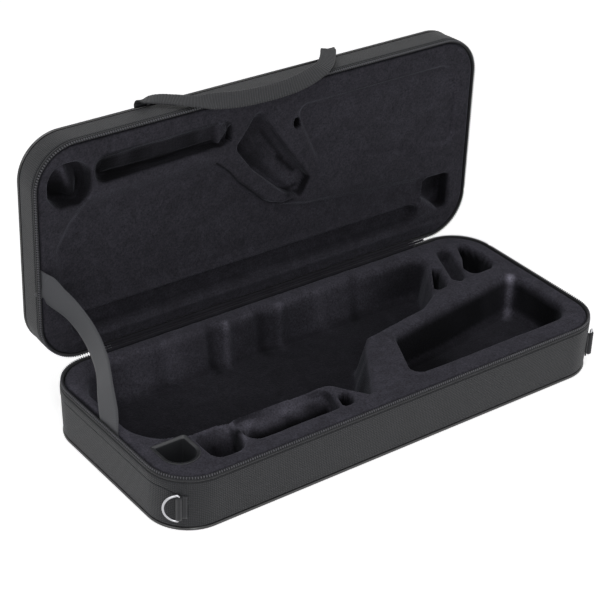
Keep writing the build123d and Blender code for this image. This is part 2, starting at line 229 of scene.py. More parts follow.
def lineDistance(x, y, points):
    # distance from an open line, and how far along it the nearest point is, from 0 to 1
    best, share = np.full(x.shape, 1e9), np.zeros(x.shape)
    n = len(points) - 1
    for k in range(n):
        (ax, ay), (bx, by) = points[k], points[k + 1]
        dx, dy = bx - ax, by - ay
        t = np.clip(((x - ax) * dx + (y - ay) * dy) / (dx * dx + dy * dy), 0, 1)
        d = np.hypot(x - ax - t * dx, y - ay - t * dy)
        nearer = d < best
        best[nearer], share[nearer] = d[nearer], ((k + t) / n)[nearer]
    return best, share


def blendOf(x, y, value):
    # a number, or a value that moves smoothly between places given as x, y and value
    if not isinstance(value, list):
        return np.full(x.shape, float(value))
    weights = [1 / (np.hypot(x - a[0], y - a[1]) + 3) ** 3 for a in value]
    return sum(w * a[2] for w, a in zip(weights, value)) / sum(weights)


def swell(x, y, length, seed):
    # soft uneven waves, as foam under cloth has
    total = 0
    for k in range(5):
        angle = seed * 1.7 + k * 2.4
        size = length * (0.7 + 0.23 * ((seed * 3 + k * 5) % 7))
        total = total + np.sin((x * cos(angle) + y * sin(angle)) * 2 * pi / size + seed * 5.1 + k * 1.3)
    return total / 5


# the moulded plush liners

def linerGrid(halfX, halfY, radius, step):
    # a grid over the plan, bent in its corner squares so that its border follows the rounded corners
    def line(half):
        corner = int(round(radius / step))
        middle = int(round(2 * (half - radius) / step))
        side = np.linspace(0, radius, corner + 1)
        inner = np.linspace(-(half - radius), half - radius, middle + 1)
        return np.concatenate([-half + side[:-1], inner, half - side[-2::-1]])
    x, y = np.meshgrid(line(halfX), line(halfY), indexing="ij")
    p = np.clip((np.abs(x) - (halfX - radius)) / radius, 0, 1)
    q = np.clip((np.abs(y) - (halfY - radius)) / radius, 0, 1)
    bent = (p > 0) & (q > 0)
    x = np.where(bent, np.sign(x) * (halfX - radius + radius * p * np.sqrt(1 - q * q / 2)), x)
    y = np.where(bent, np.sign(y) * (halfY - radius + radius * q * np.sqrt(1 - p * p / 2)), y)
    return x, y


def borderDistance(x, y, halfX, halfY, radius):
    qx = np.abs(x) - (halfX - radius)
    qy = np.abs(y) - (halfY - radius)
    outside = np.hypot(np.maximum(qx, 0), np.maximum(qy, 0))
    return radius - outside - np.minimum(np.maximum(qx, qy), 0)


def hollowProfile(s, lipAcross, lipDown, depth, lean, foot, run):
    # where the cloth lies for a plan place s from the hollow's edge: how far from the edge, how deep
    bend = 0.7
    start = asin(bend)
    q = np.clip((lipAcross - s) / lipAcross, 0, 1)
    r = s.copy()
    z = -lipDown * (1 - np.sqrt(1 - np.minimum(q, bend) ** 2))
    split = (1 - bend) * lipAcross
    wall = np.maximum(depth - lipDown - foot, 0.1)
    arcs = [(pi / 2 - start) * (lipAcross + lipDown) / 2, np.hypot(wall, lean), foot * pi / 2]
    t = np.clip((split - s) / (split + run), 0, 1) * sum(arcs)
    below = s < split
    angle = start + (pi / 2 - start) * np.clip(t / arcs[0], 0, 1)
    r = np.where(below, lipAcross * (1 - np.sin(angle)), r)
    z = np.where(below, -lipDown * (1 - np.cos(angle)), z)
    share = np.clip((t - arcs[0]) / arcs[1], 0, 1)
    onWall = below & (t > arcs[0])
    r = np.where(onWall, -lean * share, r)
    z = np.where(onWall, -lipDown - wall * share, z)
    turn = np.clip((t - arcs[0] - arcs[1]) / np.maximum(foot, 1e-6), 0, pi / 2)
    onFoot = below & (t > arcs[0] + arcs[1])
    r = np.where(onFoot, -lean - foot * (1 - np.cos(turn)), r)
    z = np.where(onFoot, -lipDown - wall - foot * np.sin(turn), z)
    floor = s < -run
    k = np.clip((-run - s) / run, 0, 1)
    r = np.where(floor, -(lean + foot) * (1 - k) + s * k, r)
    z = np.where(floor, -depth, z)
    return r, z


plush = {
    "margin": 24,  # how far beyond a hollow's edge its lip and waves may reach
    "edgeWave": 42,
    "lipShare": 0.6,  # the most of a hollow's depth that its lip takes, and then its foot
    "footShare": 0.35,
    "wallTones": (0.05, 0.26),  # the shares of the depth over which the lip's painted light turns to the wall's painted shade
    "floorTones": (0.8, 1),
    "grooveShade": 0.7,
    "topWave": 70,
    "ripple": 19,
    "rippleHeight": 0.25,
    "borderShade": 0.85,  # painted shade: the dark line where the liner goes down behind the zip's tape
    "borderReach": 1.8,
    "skirtShares": (0.25, 0.6, 1.0),
    # painted shade on the liner's sides below the rim
    "skirtPaintedShade": 0.5,
    "planAspect": 2.3,
}


def sculptLiner(liner):
    # the face's points, and a tone at each point that the velour's colour is multiplied by: painted shade
    # where little light gets into a hollow, in grooves and along the border, painted highlights on lips and
    # ridges, and partly how the pile lies
    halfX, halfY = case["halfLength"] - case["linerInset"], case["halfWidth"] - case["linerInset"]
    radius = case["cornerRadius"] - case["linerInset"]
    x, y = linerGrid(halfX, halfY, radius, liner["step"])
    z = np.zeros(x.shape)
    paintedShading = np.ones(x.shape)
    moveX, moveY = np.zeros(x.shape), np.zeros(x.shape)
    nearest = np.full(x.shape, 1e9)
    for hollow in liner["hollows"].values():
        loop = smoothLoop(hollow["corners"])
        lowX, lowY = loop.min(0) - plush["margin"]
        highX, highY = loop.max(0) + plush["margin"]
        near = (x > lowX) & (x < highX) & (y > lowY) & (y < highY)
        px, py = x[near], y[near]
        s, nx, ny = edgeDistance(px, py, loop)
        for cx, cy, reach, across, push in hollow.get("waves", []):
            s = s + push * np.exp(-((px - cx) / reach) ** 2 - ((py - cy) / across) ** 2)
        if "uneven" in hollow:
            s = s + hollow["uneven"] * swell(px, py, plush["edgeWave"], 2)
        lipAcross = blendOf(px, py, hollow["lip"])
        lipDown = blendOf(px, py, hollow.get("lipDown", hollow["lip"]))
        depth = hollow["depth"]
        depth = depth(px, py) if callable(depth) else blendOf(px, py, depth)
        lipDown = np.minimum(lipDown, plush["lipShare"] * depth)
        foot = np.minimum(blendOf(px, py, hollow["foot"]), plush["footShare"] * depth)
        lean = blendOf(px, py, hollow["lean"])
        run = np.maximum(hollow["run"], lean + foot + 0.5)
        r, dz = hollowProfile(s, lipAcross, lipDown, depth, lean, foot, run)
        if "soft" in hollow:
            share = blendOf(px, py, hollow["soft"])
            wide = hollow["softWidth"]
            r = r + (s - r) * share
            dz = dz * (1 - share) - depth * share * smoothStep(-wide, wide, -s)
        deep = np.clip(-dz / np.maximum(depth, 1), 0, 1)
        onFloor = smoothStep(*plush["floorTones"], deep)
        onWall = smoothStep(*plush["wallTones"], deep) * (1 - onFloor)
        onLip = np.exp(-((s + 0.3 * lipAcross) / (0.5 * lipAcross + 1.5)) ** 2)
        # painted light and shade: lighter or darker along the lip, mostly darker down the walls and on the
        # floor where less light gets in
        tone = 1 + (blendOf(px, py, hollow.get("lipPaintedShading", 1)) - 1) * onLip
        tone = tone + (blendOf(px, py, hollow["wallPaintedShading"]) - tone) * onWall
        tone = tone + (blendOf(px, py, hollow["floorPaintedShading"]) - tone) * onFloor
        take = s < nearest[near]
        picked = np.zeros(x.shape, bool)
        picked[near] = take
        nearest[picked] = s[take]
        z[picked] = dz[take]
        paintedShading[picked] = tone[take]
        moveX[picked] = ((r - s) * nx)[take]
        moveY[picked] = ((r - s) * ny)[take]
    edge = borderDistance(x, y, halfX, halfY, radius)
    x, y = x + moveX, y + moveY
    for ridge in liner.get("ridges", []):
        away, along = lineDistance(x, y, ridge["path"])
        top = np.interp(along, np.linspace(0, 1, len(ridge["top"])), ridge["top"])
        fin = top - (away / ridge["width"]) ** 2 * ridge["fall"]
        z = np.where((away < ridge["reach"]) & (nearest < 0), np.maximum(z, fin), z)
    for groove in liner["grooves"]:
        near = np.exp(-(lineDistance(x, y, groove["path"])[0] / groove["width"]) ** 2)
        z = z - groove["depth"] * near
        paintedShading = paintedShading * (1 - plush["grooveShade"] * near)
    for mound in liner.get("mounds", []):
        near = np.exp(-(lineDistance(x, y, mound["path"])[0] / mound["width"]) ** 2)
        z = z + mound["height"] * near
    # painted highlights and painted shade along lines
    for path, width, shade in liner["paintedShadingLines"]:
        near = np.exp(-(lineDistance(x, y, path)[0] / width) ** 2)
        paintedShading = paintedShading * (1 + (shade - 1) * near)
    z = z + liner["unevenTop"] * swell(x, y, plush["topWave"], 1)
    z = z + plush["rippleHeight"] * swell(x, y, plush["ripple"], 4)
    t = np.clip(1 - edge / liner["edgeRoll"], 0, 1)
    z = z - liner["edgeDrop"] * (1 - np.sqrt(1 - t ** 2))
    paintedShading = paintedShading * liner["brightness"] * (1 - plush["borderShade"] * np.exp(-(edge / plush["borderReach"]) ** 2))
    if "gap" in liner:
        # the plush stands a little off the left end's wall there
        pull = liner["gap"]
        share = np.exp(-((y - pull["y"]) / pull["reach"]) ** 2) * np.exp(-edge / pull["fade"])
        x = x + pull["inward"] * share * (x < pull["from"])
    return x, y, z, paintedShading


def linerPiece(name, liner, place, material):
    # the sculpted face, closed by a skirt down its sides and a flat back
    x, y, z, paintedShading = sculptLiner(liner)
    rows, cols = x.shape
    face = np.stack([x, y, liner["face"] + liner["facing"] * z], -1)
    loop = [(i, 0) for i in range(rows)] + [(rows - 1, j) for j in range(1, cols)]
    loop += [(i, cols - 1) for i in range(rows - 2, -1, -1)] + [(0, j) for j in range(cols - 2, 0, -1)]
    border = np.array([face[i, j] for i, j in loop])
    rings = []
    for share in plush["skirtShares"]:
        height = border[:, 2] + (liner["back"] - border[:, 2]) * share
        lean = liner["lean"](height) - liner["lean"](border[:, 2])
        inward = unitVector(border[:, :2] * [1, plush["planAspect"]]) * lean[:, None]
        rings.append(np.column_stack([border[:, :2] - inward, height]))
    verts = np.concatenate([face.reshape(-1, 3)] + rings)
    i, j = np.meshgrid(np.arange(rows - 1), np.arange(cols - 1), indexing="ij")
    quads = np.stack([i * cols + j, (i + 1) * cols + j, (i + 1) * cols + j + 1, i * cols + j + 1], -1)
    faces = quads.reshape(-1, 4).tolist()
    previous = [a * cols + b for a, b in loop]
    n = len(loop)
    for k in range(len(rings)):
        start = rows * cols + k * n
        current = list(range(start, start + n))
        faces += [[previous[m], previous[(m + 1) % n], current[(m + 1) % n], current[m]] for m in range(n)]
        previous = current
    faces.append(previous[::-1])
    flat = verts[:, :2] * mm
    uvs = np.concatenate([flat[f] for f in faces])
    made = finishMesh(name, place(verts), faces, material, uvs)
    # the skirt down the liner's sides takes a flat painted shade
    tones = np.concatenate([paintedShading.ravel(), np.full(len(rings) * n, plush["skirtPaintedShade"])])
    laid = made.data.attributes.new("paintedShading", "FLOAT", "POINT")
    laid.data.foreach_set("value", tones.astype(np.float32))
    return made


# materials

def linear(colour):
    # an sRGB hex colour as the linear one that shaders take
    parts = [int(colour[k:k + 2], 16) / 255 for k in (1, 3, 5)]
    return (*[c / 12.92 if c <= 0.04045 else ((c + 0.055) / 1.055) ** 2.4 for c in parts], 1)


def addNode(tree, kind, inputs=None, **settings):
    made = tree.nodes.new(kind)
    for key, value in settings.items():
        setattr(made, key, value)
    for key, value in (inputs or {}).items():
        if isinstance(value, bpy.types.NodeSocket):
            tree.links.new(value, made.inputs[key])
        else:
            made.inputs[key].default_value = value
    return made


def remap(tree, value, low, high, toLow, toHigh):
    return addNode(tree, "ShaderNodeMapRange", {
        "Value": value, "From Min": low, "From Max": high, "To Min": toLow, "To Max": toHigh,
    })


def newMaterial(name):
    made = bpy.data.materials.new(name)
    made.use_nodes = True
    made.node_tree.nodes.clear()
    return made, made.node_tree


def closeMaterial(tree, shader):
    addNode(tree, "ShaderNodeOutputMaterial", {"Surface": shader.outputs[0]})


# velour, warp-knitted pile brushed over moulded foam: near black, with a cool bloom where the pile
# leans away from the eye and lighter patches where it has been stroked
velourSettings = {
    "pile": "#1b1a1d",
    "stroked": "#403f47",
    "patchSize": 26,
    "pileSize": 2.2,
    "sheenWeight": 0.3,
    "sheenRoughness": 0.42,
    "sheenTint": "#aeb0bd",
}


def brushedVelour():
    made, tree = newMaterial("brushedVelour")
    s = velourSettings
    coords = addNode(tree, "ShaderNodeTexCoord")
    patches = addNode(tree, "ShaderNodeTexNoise", {
        "Vector": coords.outputs["Object"], "Scale": 1000 / s["patchSize"], "Detail": 6.0,
        "Roughness": 0.65, "Distortion": 1.2,
    })
    spread = remap(tree, patches.outputs["Fac"], 0.35, 0.7, 0.5, 1.0)
    pile = addNode(tree, "ShaderNodeTexNoise", {
        "Vector": coords.outputs["Object"], "Scale": 1000 / s["pileSize"], "Detail": 3.0, "Roughness": 0.75,
    })
    contrast = remap(tree, pile.outputs["Fac"], 0.24, 0.76, 0.0, 1.0)
    mixing = addNode(tree, "ShaderNodeMath", {
        0: spread.outputs["Result"], 1: contrast.outputs["Result"],
    }, operation="MULTIPLY")
    colour = addNode(tree, "ShaderNodeMix", {
        "Factor": mixing.outputs[0], "A": linear(s["pile"]), "B": linear(s["stroked"]),
    }, data_type="RGBA")
    # the painted light and shade that the liners carry at each point darkens or lightens the colour
    paintedShading = addNode(tree, "ShaderNodeAttribute", attribute_name="paintedShading")
    laid = addNode(tree, "ShaderNodeMix", {
        "Factor": 1.0, "A": colour.outputs["Result"], "B": paintedShading.outputs["Color"],
    }, data_type="RGBA", blend_type="MULTIPLY")
    bump = addNode(tree, "ShaderNodeBump", {
        "Height": pile.outputs["Fac"], "Strength": 0.6, "Distance": 0.0009,
    })
    shader = addNode(tree, "ShaderNodeBsdfPrincipled", {
        "Base Color": laid.outputs["Result"], "Roughness": 0.92, "Specular IOR Level": 0.06,
        "Sheen Weight": s["sheenWeight"], "Sheen Roughness": s["sheenRoughness"],
        "Sheen Tint": linear(s["sheenTint"]), "Normal": bump.outputs[0],
    })
    closeMaterial(tree, shader)
    return made


# 1680-denier nylon, woven in a plain weave from thick flat yarns: a grid of small satin blocks
nylonSettings = {
    "thread": "#1f2127",
    # painted shade between the yarns
    "valleyShade": "#070708",
    "yarnSpacing": 2.5,  # the real yarns lie about 1.2 mm apart, too fine to show
    "roughness": 0.62,
}


def wovenNylon(name, source):
    made, tree = newMaterial(name)
    s = nylonSettings
    coords = addNode(tree, "ShaderNodeTexCoord")
    split = addNode(tree, "ShaderNodeSeparateXYZ", {"Vector": coords.outputs[source]})
    waves = []
    for axis in (0, 1):
        turn = addNode(tree, "ShaderNodeMath", {
            0: split.outputs[axis], 1: pi * 1000 / s["yarnSpacing"],
        }, operation="MULTIPLY")
        waves.append(addNode(tree, "ShaderNodeMath", {0: turn.outputs[0]}, operation="SINE"))
    crossing = addNode(tree, "ShaderNodeMath", {
        0: waves[0].outputs[0], 1: waves[1].outputs[0],
    }, operation="MULTIPLY")
    height = addNode(tree, "ShaderNodeMath", {0: crossing.outputs[0]}, operation="ABSOLUTE")
    grain = addNode(tree, "ShaderNodeTexNoise", {
        "Vector": coords.outputs["Object"], "Scale": 60.0, "Detail": 4.0, "Roughness": 0.6,
    })
    rise = remap(tree, height.outputs[0], 0.0, 0.85, 0.0, 1.0)
    colour = addNode(tree, "ShaderNodeMix", {
        "Factor": rise.outputs["Result"], "A": linear(s["valleyShade"]), "B": linear(s["thread"]),
    }, data_type="RGBA")
    wear = remap(tree, grain.outputs["Fac"], 0.3, 0.7, 0.86, 1.14)
    tinted = addNode(tree, "ShaderNodeMix", {
        "Factor": 1.0, "A": colour.outputs["Result"], "B": wear.outputs["Result"],
    }, data_type="RGBA", blend_type="MULTIPLY")
    bump = addNode(tree, "ShaderNodeBump", {
        "Height": rise.outputs["Result"], "Strength": 0.8, "Distance": 0.0006,
    })
    shader = addNode(tree, "ShaderNodeBsdfPrincipled", {
        "Base Color": tinted.outputs["Result"], "Roughness": s["roughness"], "Specular IOR Level": 0.35,
        "Sheen Weight": 0.12, "Normal": bump.outputs[0],
    })
    closeMaterial(tree, shader)
    return made


def plainFinish(
    name, colour, roughness, metallic=0.0, bumpSize=0.8, bumpStrength=0.15, specular=0.5, sheen=0.0,
    second=None,
):
    # a smooth or finely grained surface with a slight unevenness of colour and gloss
    made, tree = newMaterial(name)
    coords = addNode(tree, "ShaderNodeTexCoord")
    grain = addNode(tree, "ShaderNodeTexNoise", {
        "Vector": coords.outputs["Object"], "Scale": 1000 / bumpSize, "Detail": 3.0, "Roughness": 0.6,
    })
    cloud = addNode(tree, "ShaderNodeTexNoise", {
        "Vector": coords.outputs["Object"], "Scale": 45.0, "Detail": 3.0,
    })
    mixed = addNode(tree, "ShaderNodeMix", {
        "Factor": cloud.outputs["Fac"], "A": linear(colour), "B": linear(second or colour),
    }, data_type="RGBA")
    gloss = remap(tree, cloud.outputs["Fac"], 0.3, 0.7, roughness * 0.85, min(1.0, roughness * 1.15))
    bump = addNode(tree, "ShaderNodeBump", {
        "Height": grain.outputs["Fac"], "Strength": bumpStrength, "Distance": 0.0002,
    })
    shader = addNode(tree, "ShaderNodeBsdfPrincipled", {
        "Base Color": mixed.outputs["Result"], "Roughness": gloss.outputs["Result"], "Metallic": metallic,
        "Normal": bump.outputs[0],
    })
    if not metallic:
        shader.inputs["Specular IOR Level"].default_value = specular
    shader.inputs["Sheen Weight"].default_value = sheen
    closeMaterial(tree, shader)
    return made


def ribbedWebbing(name, colour, valleyShade, ribAlong, ribAcross, roughness=0.7, bumpStrength=0.6):
    # woven narrow fabric: ribs at ribAlong millimetres along the band, with finer threads across them
    made, tree = newMaterial(name)
    coords = addNode(tree, "ShaderNodeTexCoord")
    split = addNode(tree, "ShaderNodeSeparateXYZ", {"Vector": coords.outputs["UV"]})
    parts = []
    for axis, spacing in ((0, ribAlong), (1, ribAcross)):
        turn = addNode(tree, "ShaderNodeMath", {
            0: split.outputs[axis], 1: 2 * pi * 1000 / spacing,
        }, operation="MULTIPLY")
        wave = addNode(tree, "ShaderNodeMath", {0: turn.outputs[0]}, operation="SINE")
        parts.append(remap(tree, wave.outputs[0], -1.0, 1.0, 0.0, 1.0))
    both = addNode(tree, "ShaderNodeMix", {
        "Factor": 0.3, "A": parts[0].outputs["Result"], "B": parts[1].outputs["Result"],
    }, data_type="FLOAT")
    threads = addNode(tree, "ShaderNodeTexNoise", {
        "Vector": coords.outputs["Object"], "Scale": 900.0, "Detail": 2.0,
    })
    shade = addNode(tree, "ShaderNodeMath", {
        0: both.outputs["Result"], 1: threads.outputs["Fac"], 2: 0.15,
    }, operation="MULTIPLY_ADD")
    # the colour between the ribs is painted shade
    mixed = addNode(tree, "ShaderNodeMix", {
        "Factor": shade.outputs[0], "A": linear(valleyShade), "B": linear(colour),
    }, data_type="RGBA")
    bump = addNode(tree, "ShaderNodeBump", {
        "Height": both.outputs["Result"], "Strength": bumpStrength, "Distance": 0.0003,
    })
    shader = addNode(tree, "ShaderNodeBsdfPrincipled", {
        "Base Color": mixed.outputs["Result"], "Roughness": roughness, "Specular IOR Level": 0.4,
        "Sheen Weight": 0.15, "Normal": bump.outputs[0],
    })
    closeMaterial(tree, shader)
    return made


velour = brushedVelour()
cloth = wovenNylon("wovenNylon", "UV")
panelCloth = wovenNylon("wovenNylonPanel", "Object")
# extruded PVC cord: smooth and glossy, so it draws a thin bright line along every edge
pipingVinyl = plainFinish(
    "extrudedVinylPiping", "#0d0d0f", 0.2, bumpSize=3.0, bumpStrength=0.05, specular=0.8, second="#151517",
)
# knitted polyester zip tape: dull, with fine ribs along it
zipTape = ribbedWebbing("knittedZipTape", "#222327", "#101114", 2.0, 1.5, 0.72, 0.5)
# nylon monofilament coil: satin teeth with small glints
coilNylon = plainFinish("monofilamentCoil", "#505055", 0.34, second="#5a5a60")
# polyester herringbone webbing, calendered flat: smooth and a little lighter than the rest
stayWebbing = ribbedWebbing("calenderedWebbing", "#4b4c50", "#3b3c40", 1.6, 1.2, 0.62, 0.25)
# heavy ribbed nylon webbing: strong ribs straight across the band
handleWebbing = ribbedWebbing("ribbedNylonWebbing", "#404145", "#050506", 3.6, 1.8, 0.66, 1.0)
# sewing thread, bonded nylon: tight bright stitches with a faint gloss
thread = plainFinish("bondedThread", "#2b2c2f", 0.5, bumpSize=0.5, sheen=0.1)
# moulded ABS with a fine spark-eroded texture: satin grey-black
mouldedPlastic = plainFinish(
    "mouldedPlastic", "#37383b", 0.36, bumpSize=0.6, bumpStrength=0.2, second="#2e2f32",
)
# nickel plate over drawn steel wire: mirror-bright with faint drawing lines
nickelWire = plainFinish(
    "nickelPlatedWire", "#c4c4c8", 0.13, metallic=1.0, bumpSize=4.0, bumpStrength=0.03, second="#b6b6ba",
)
# zinc die casting under baked enamel: glossy black with a little orange peel
enamel = plainFinish("bakedEnamel", "#141416", 0.3, bumpSize=1.2, bumpStrength=0.12, second="#1b1b1d")
# thin nylon lining cloth: soft, dull black
lining = plainFinish(
    "liningCloth", "#2c2b31", 0.92, bumpSize=0.7, bumpStrength=0.4, specular=0.06, sheen=0.1,
    second="#1e1d22",
)
# closed-cell foam board: matt black with a fine skin
foamBoard = plainFinish("foamBoard", "#17171a", 0.85, bumpSize=1.5, bumpStrength=0.4, second="#1e1e21")
print("materials made:", len(bpy.data.materials))

# camera, light and floor

# found by fitting a pinhole camera to the case's corners in the photograph, 600 pixels square
cameraFit = {
    "focalPixels": 1845.46,
    "frame": 600,
    "azimuth": -37.513,
    "elevation": 30.702,
    "roll": 2.23,
    "distance": 2312.31,
    "target": (-45.261, 0, 114.684),
    "sensor": 36,
    "clip": (0.1, 20),
}


def placeCamera(fit):
    azimuth, elevation, roll = (radians(fit[key]) for key in ("azimuth", "elevation", "roll"))
    back = Vector((sin(azimuth) * cos(elevation), -cos(azimuth) * cos(elevation), sin(elevation)))
    right = (-back).cross(Vector((0, 0, 1))).normalized()
    up = right.cross(-back)
    target = Vector(fit["target"])
    eye = (right * target.x + up * target.z + back * fit["distance"]) * mm
    side = right * cos(roll) + up * sin(roll)
    top = up * cos(roll) - right * sin(roll)
    camera = bpy.data.objects.new("camera", bpy.data.cameras.new("camera"))
    camera.data.sensor_width = fit["sensor"]
    camera.data.lens = fit["focalPixels"] * fit["sensor"] / fit["frame"]
    camera.data.clip_start, camera.data.clip_end = fit["clip"]
    matrix = Matrix((side, top, back)).transposed().to_4x4()
    matrix.translation = eye
    camera.matrix_world = matrix
    bpy.context.scene.collection.objects.link(camera)
    bpy.context.scene.camera = camera


placeCamera(cameraFit)

studio = {
    "ambient": 0.16,
    "floorColour": "#f4f4f4",
    "floorGlow": 0.75,
    "floorLight": 0.55,
    "floorHalf": 6,
    "floorDrop": 0.0004,  # just under the case's feet, so that the two never share a plane
    "aim": (0, 0, 0.1),
    "lamps": [
        # place, width, height, watts: a wide soft box over the case, one at the left, a weak one at the
        # right and a tall narrow one at the front, which draws the bright lines on the corners' piping
        ((-0.3, -0.3, 2.3), 1.6, 1.6, 15),
        ((-2.3, -0.7, 1.2), 1.3, 1.3, 7),
        ((1.0, -2.3, 1.2), 1.4, 1.4, 4),
        ((-1.1, -2.2, 1.3), 0.35, 2.6, 10),
    ],
}


def seenByEye(tree):
    # 1 where the camera sees the background, mirrored and through clear things too, 0 where it lights
    path = addNode(tree, "ShaderNodeLightPath")
    first = addNode(tree, "ShaderNodeMath", {
        0: path.outputs["Is Camera Ray"], 1: path.outputs["Is Glossy Ray"],
    }, operation="MAXIMUM")
    return addNode(tree, "ShaderNodeMath", {
        0: first.outputs[0], 1: path.outputs["Is Transmission Ray"],
    }, operation="MAXIMUM").outputs[0]


def makeStudio():
    world = bpy.data.worlds.new("studio")
    bpy.context.scene.world = world
    world.use_nodes = True
    tree = world.node_tree
    tree.nodes.clear()
    seen = seenByEye(tree)
    strength = addNode(
        tree, "ShaderNodeMix", {"Factor": seen, "A": studio["ambient"], "B": 1.0}, data_type="FLOAT",
    )
    light = addNode(
        tree, "ShaderNodeBackground", {"Color": (1, 1, 1, 1), "Strength": strength.outputs["Result"]},
    )
    addNode(tree, "ShaderNodeOutputWorld", {"Surface": light.outputs[0]})
    paint, tree = newMaterial("floorPaint")
    seen = addNode(tree, "ShaderNodeLightPath").outputs["Is Camera Ray"]
    glow = addNode(
        tree, "ShaderNodeMix", {"Factor": seen, "A": studio["floorLight"], "B": studio["floorGlow"]},
        data_type="FLOAT",
    )
    shader = addNode(tree, "ShaderNodeBsdfPrincipled", {
        "Base Color": linear(studio["floorColour"]), "Roughness": 0.9, "Specular IOR Level": 0.1,
        "Emission Color": (1, 1, 1, 1), "Emission Strength": glow.outputs["Result"],
    })
    closeMaterial(tree, shader)
    size = studio["floorHalf"]
    corners = [(-size, -size, 0), (size, -size, 0), (size, size, 0), (-size, size, 0)]
    floor = finishMesh("floor", corners, [(0, 1, 2, 3)], paint, turnOut=False)
    floor.location.z = -studio["floorDrop"]
    for place, width, height, watts in studio["lamps"]:
        lamp = bpy.data.lights.new("softBox", "AREA")
        lamp.shape = "RECTANGLE"
        lamp.size, lamp.size_y = width, height
        lamp.energy = watts
        holder = bpy.data.objects.new("softBox", lamp)
        holder.location = place
        holder.rotation_euler = (Vector(studio["aim"]) - Vector(place)).to_track_quat("-Z", "Y").to_euler()
        bpy.context.scene.collection.objects.link(holder)


makeStudio()
bpy.context.scene.view_settings.view_transform = "Standard"
print("camera and studio placed")

# the base's liner


def troughFloor(x, y):
    # the neck's rest slopes from the rail down to its front
    shallow, fall = 4, 24
    return shallow + fall * smoothStep(-62, -104, y)


def frontPocketFloor(x, y):
    shallow, fall = 6, 34
    return shallow + fall * smoothStep(-66, -104, y)


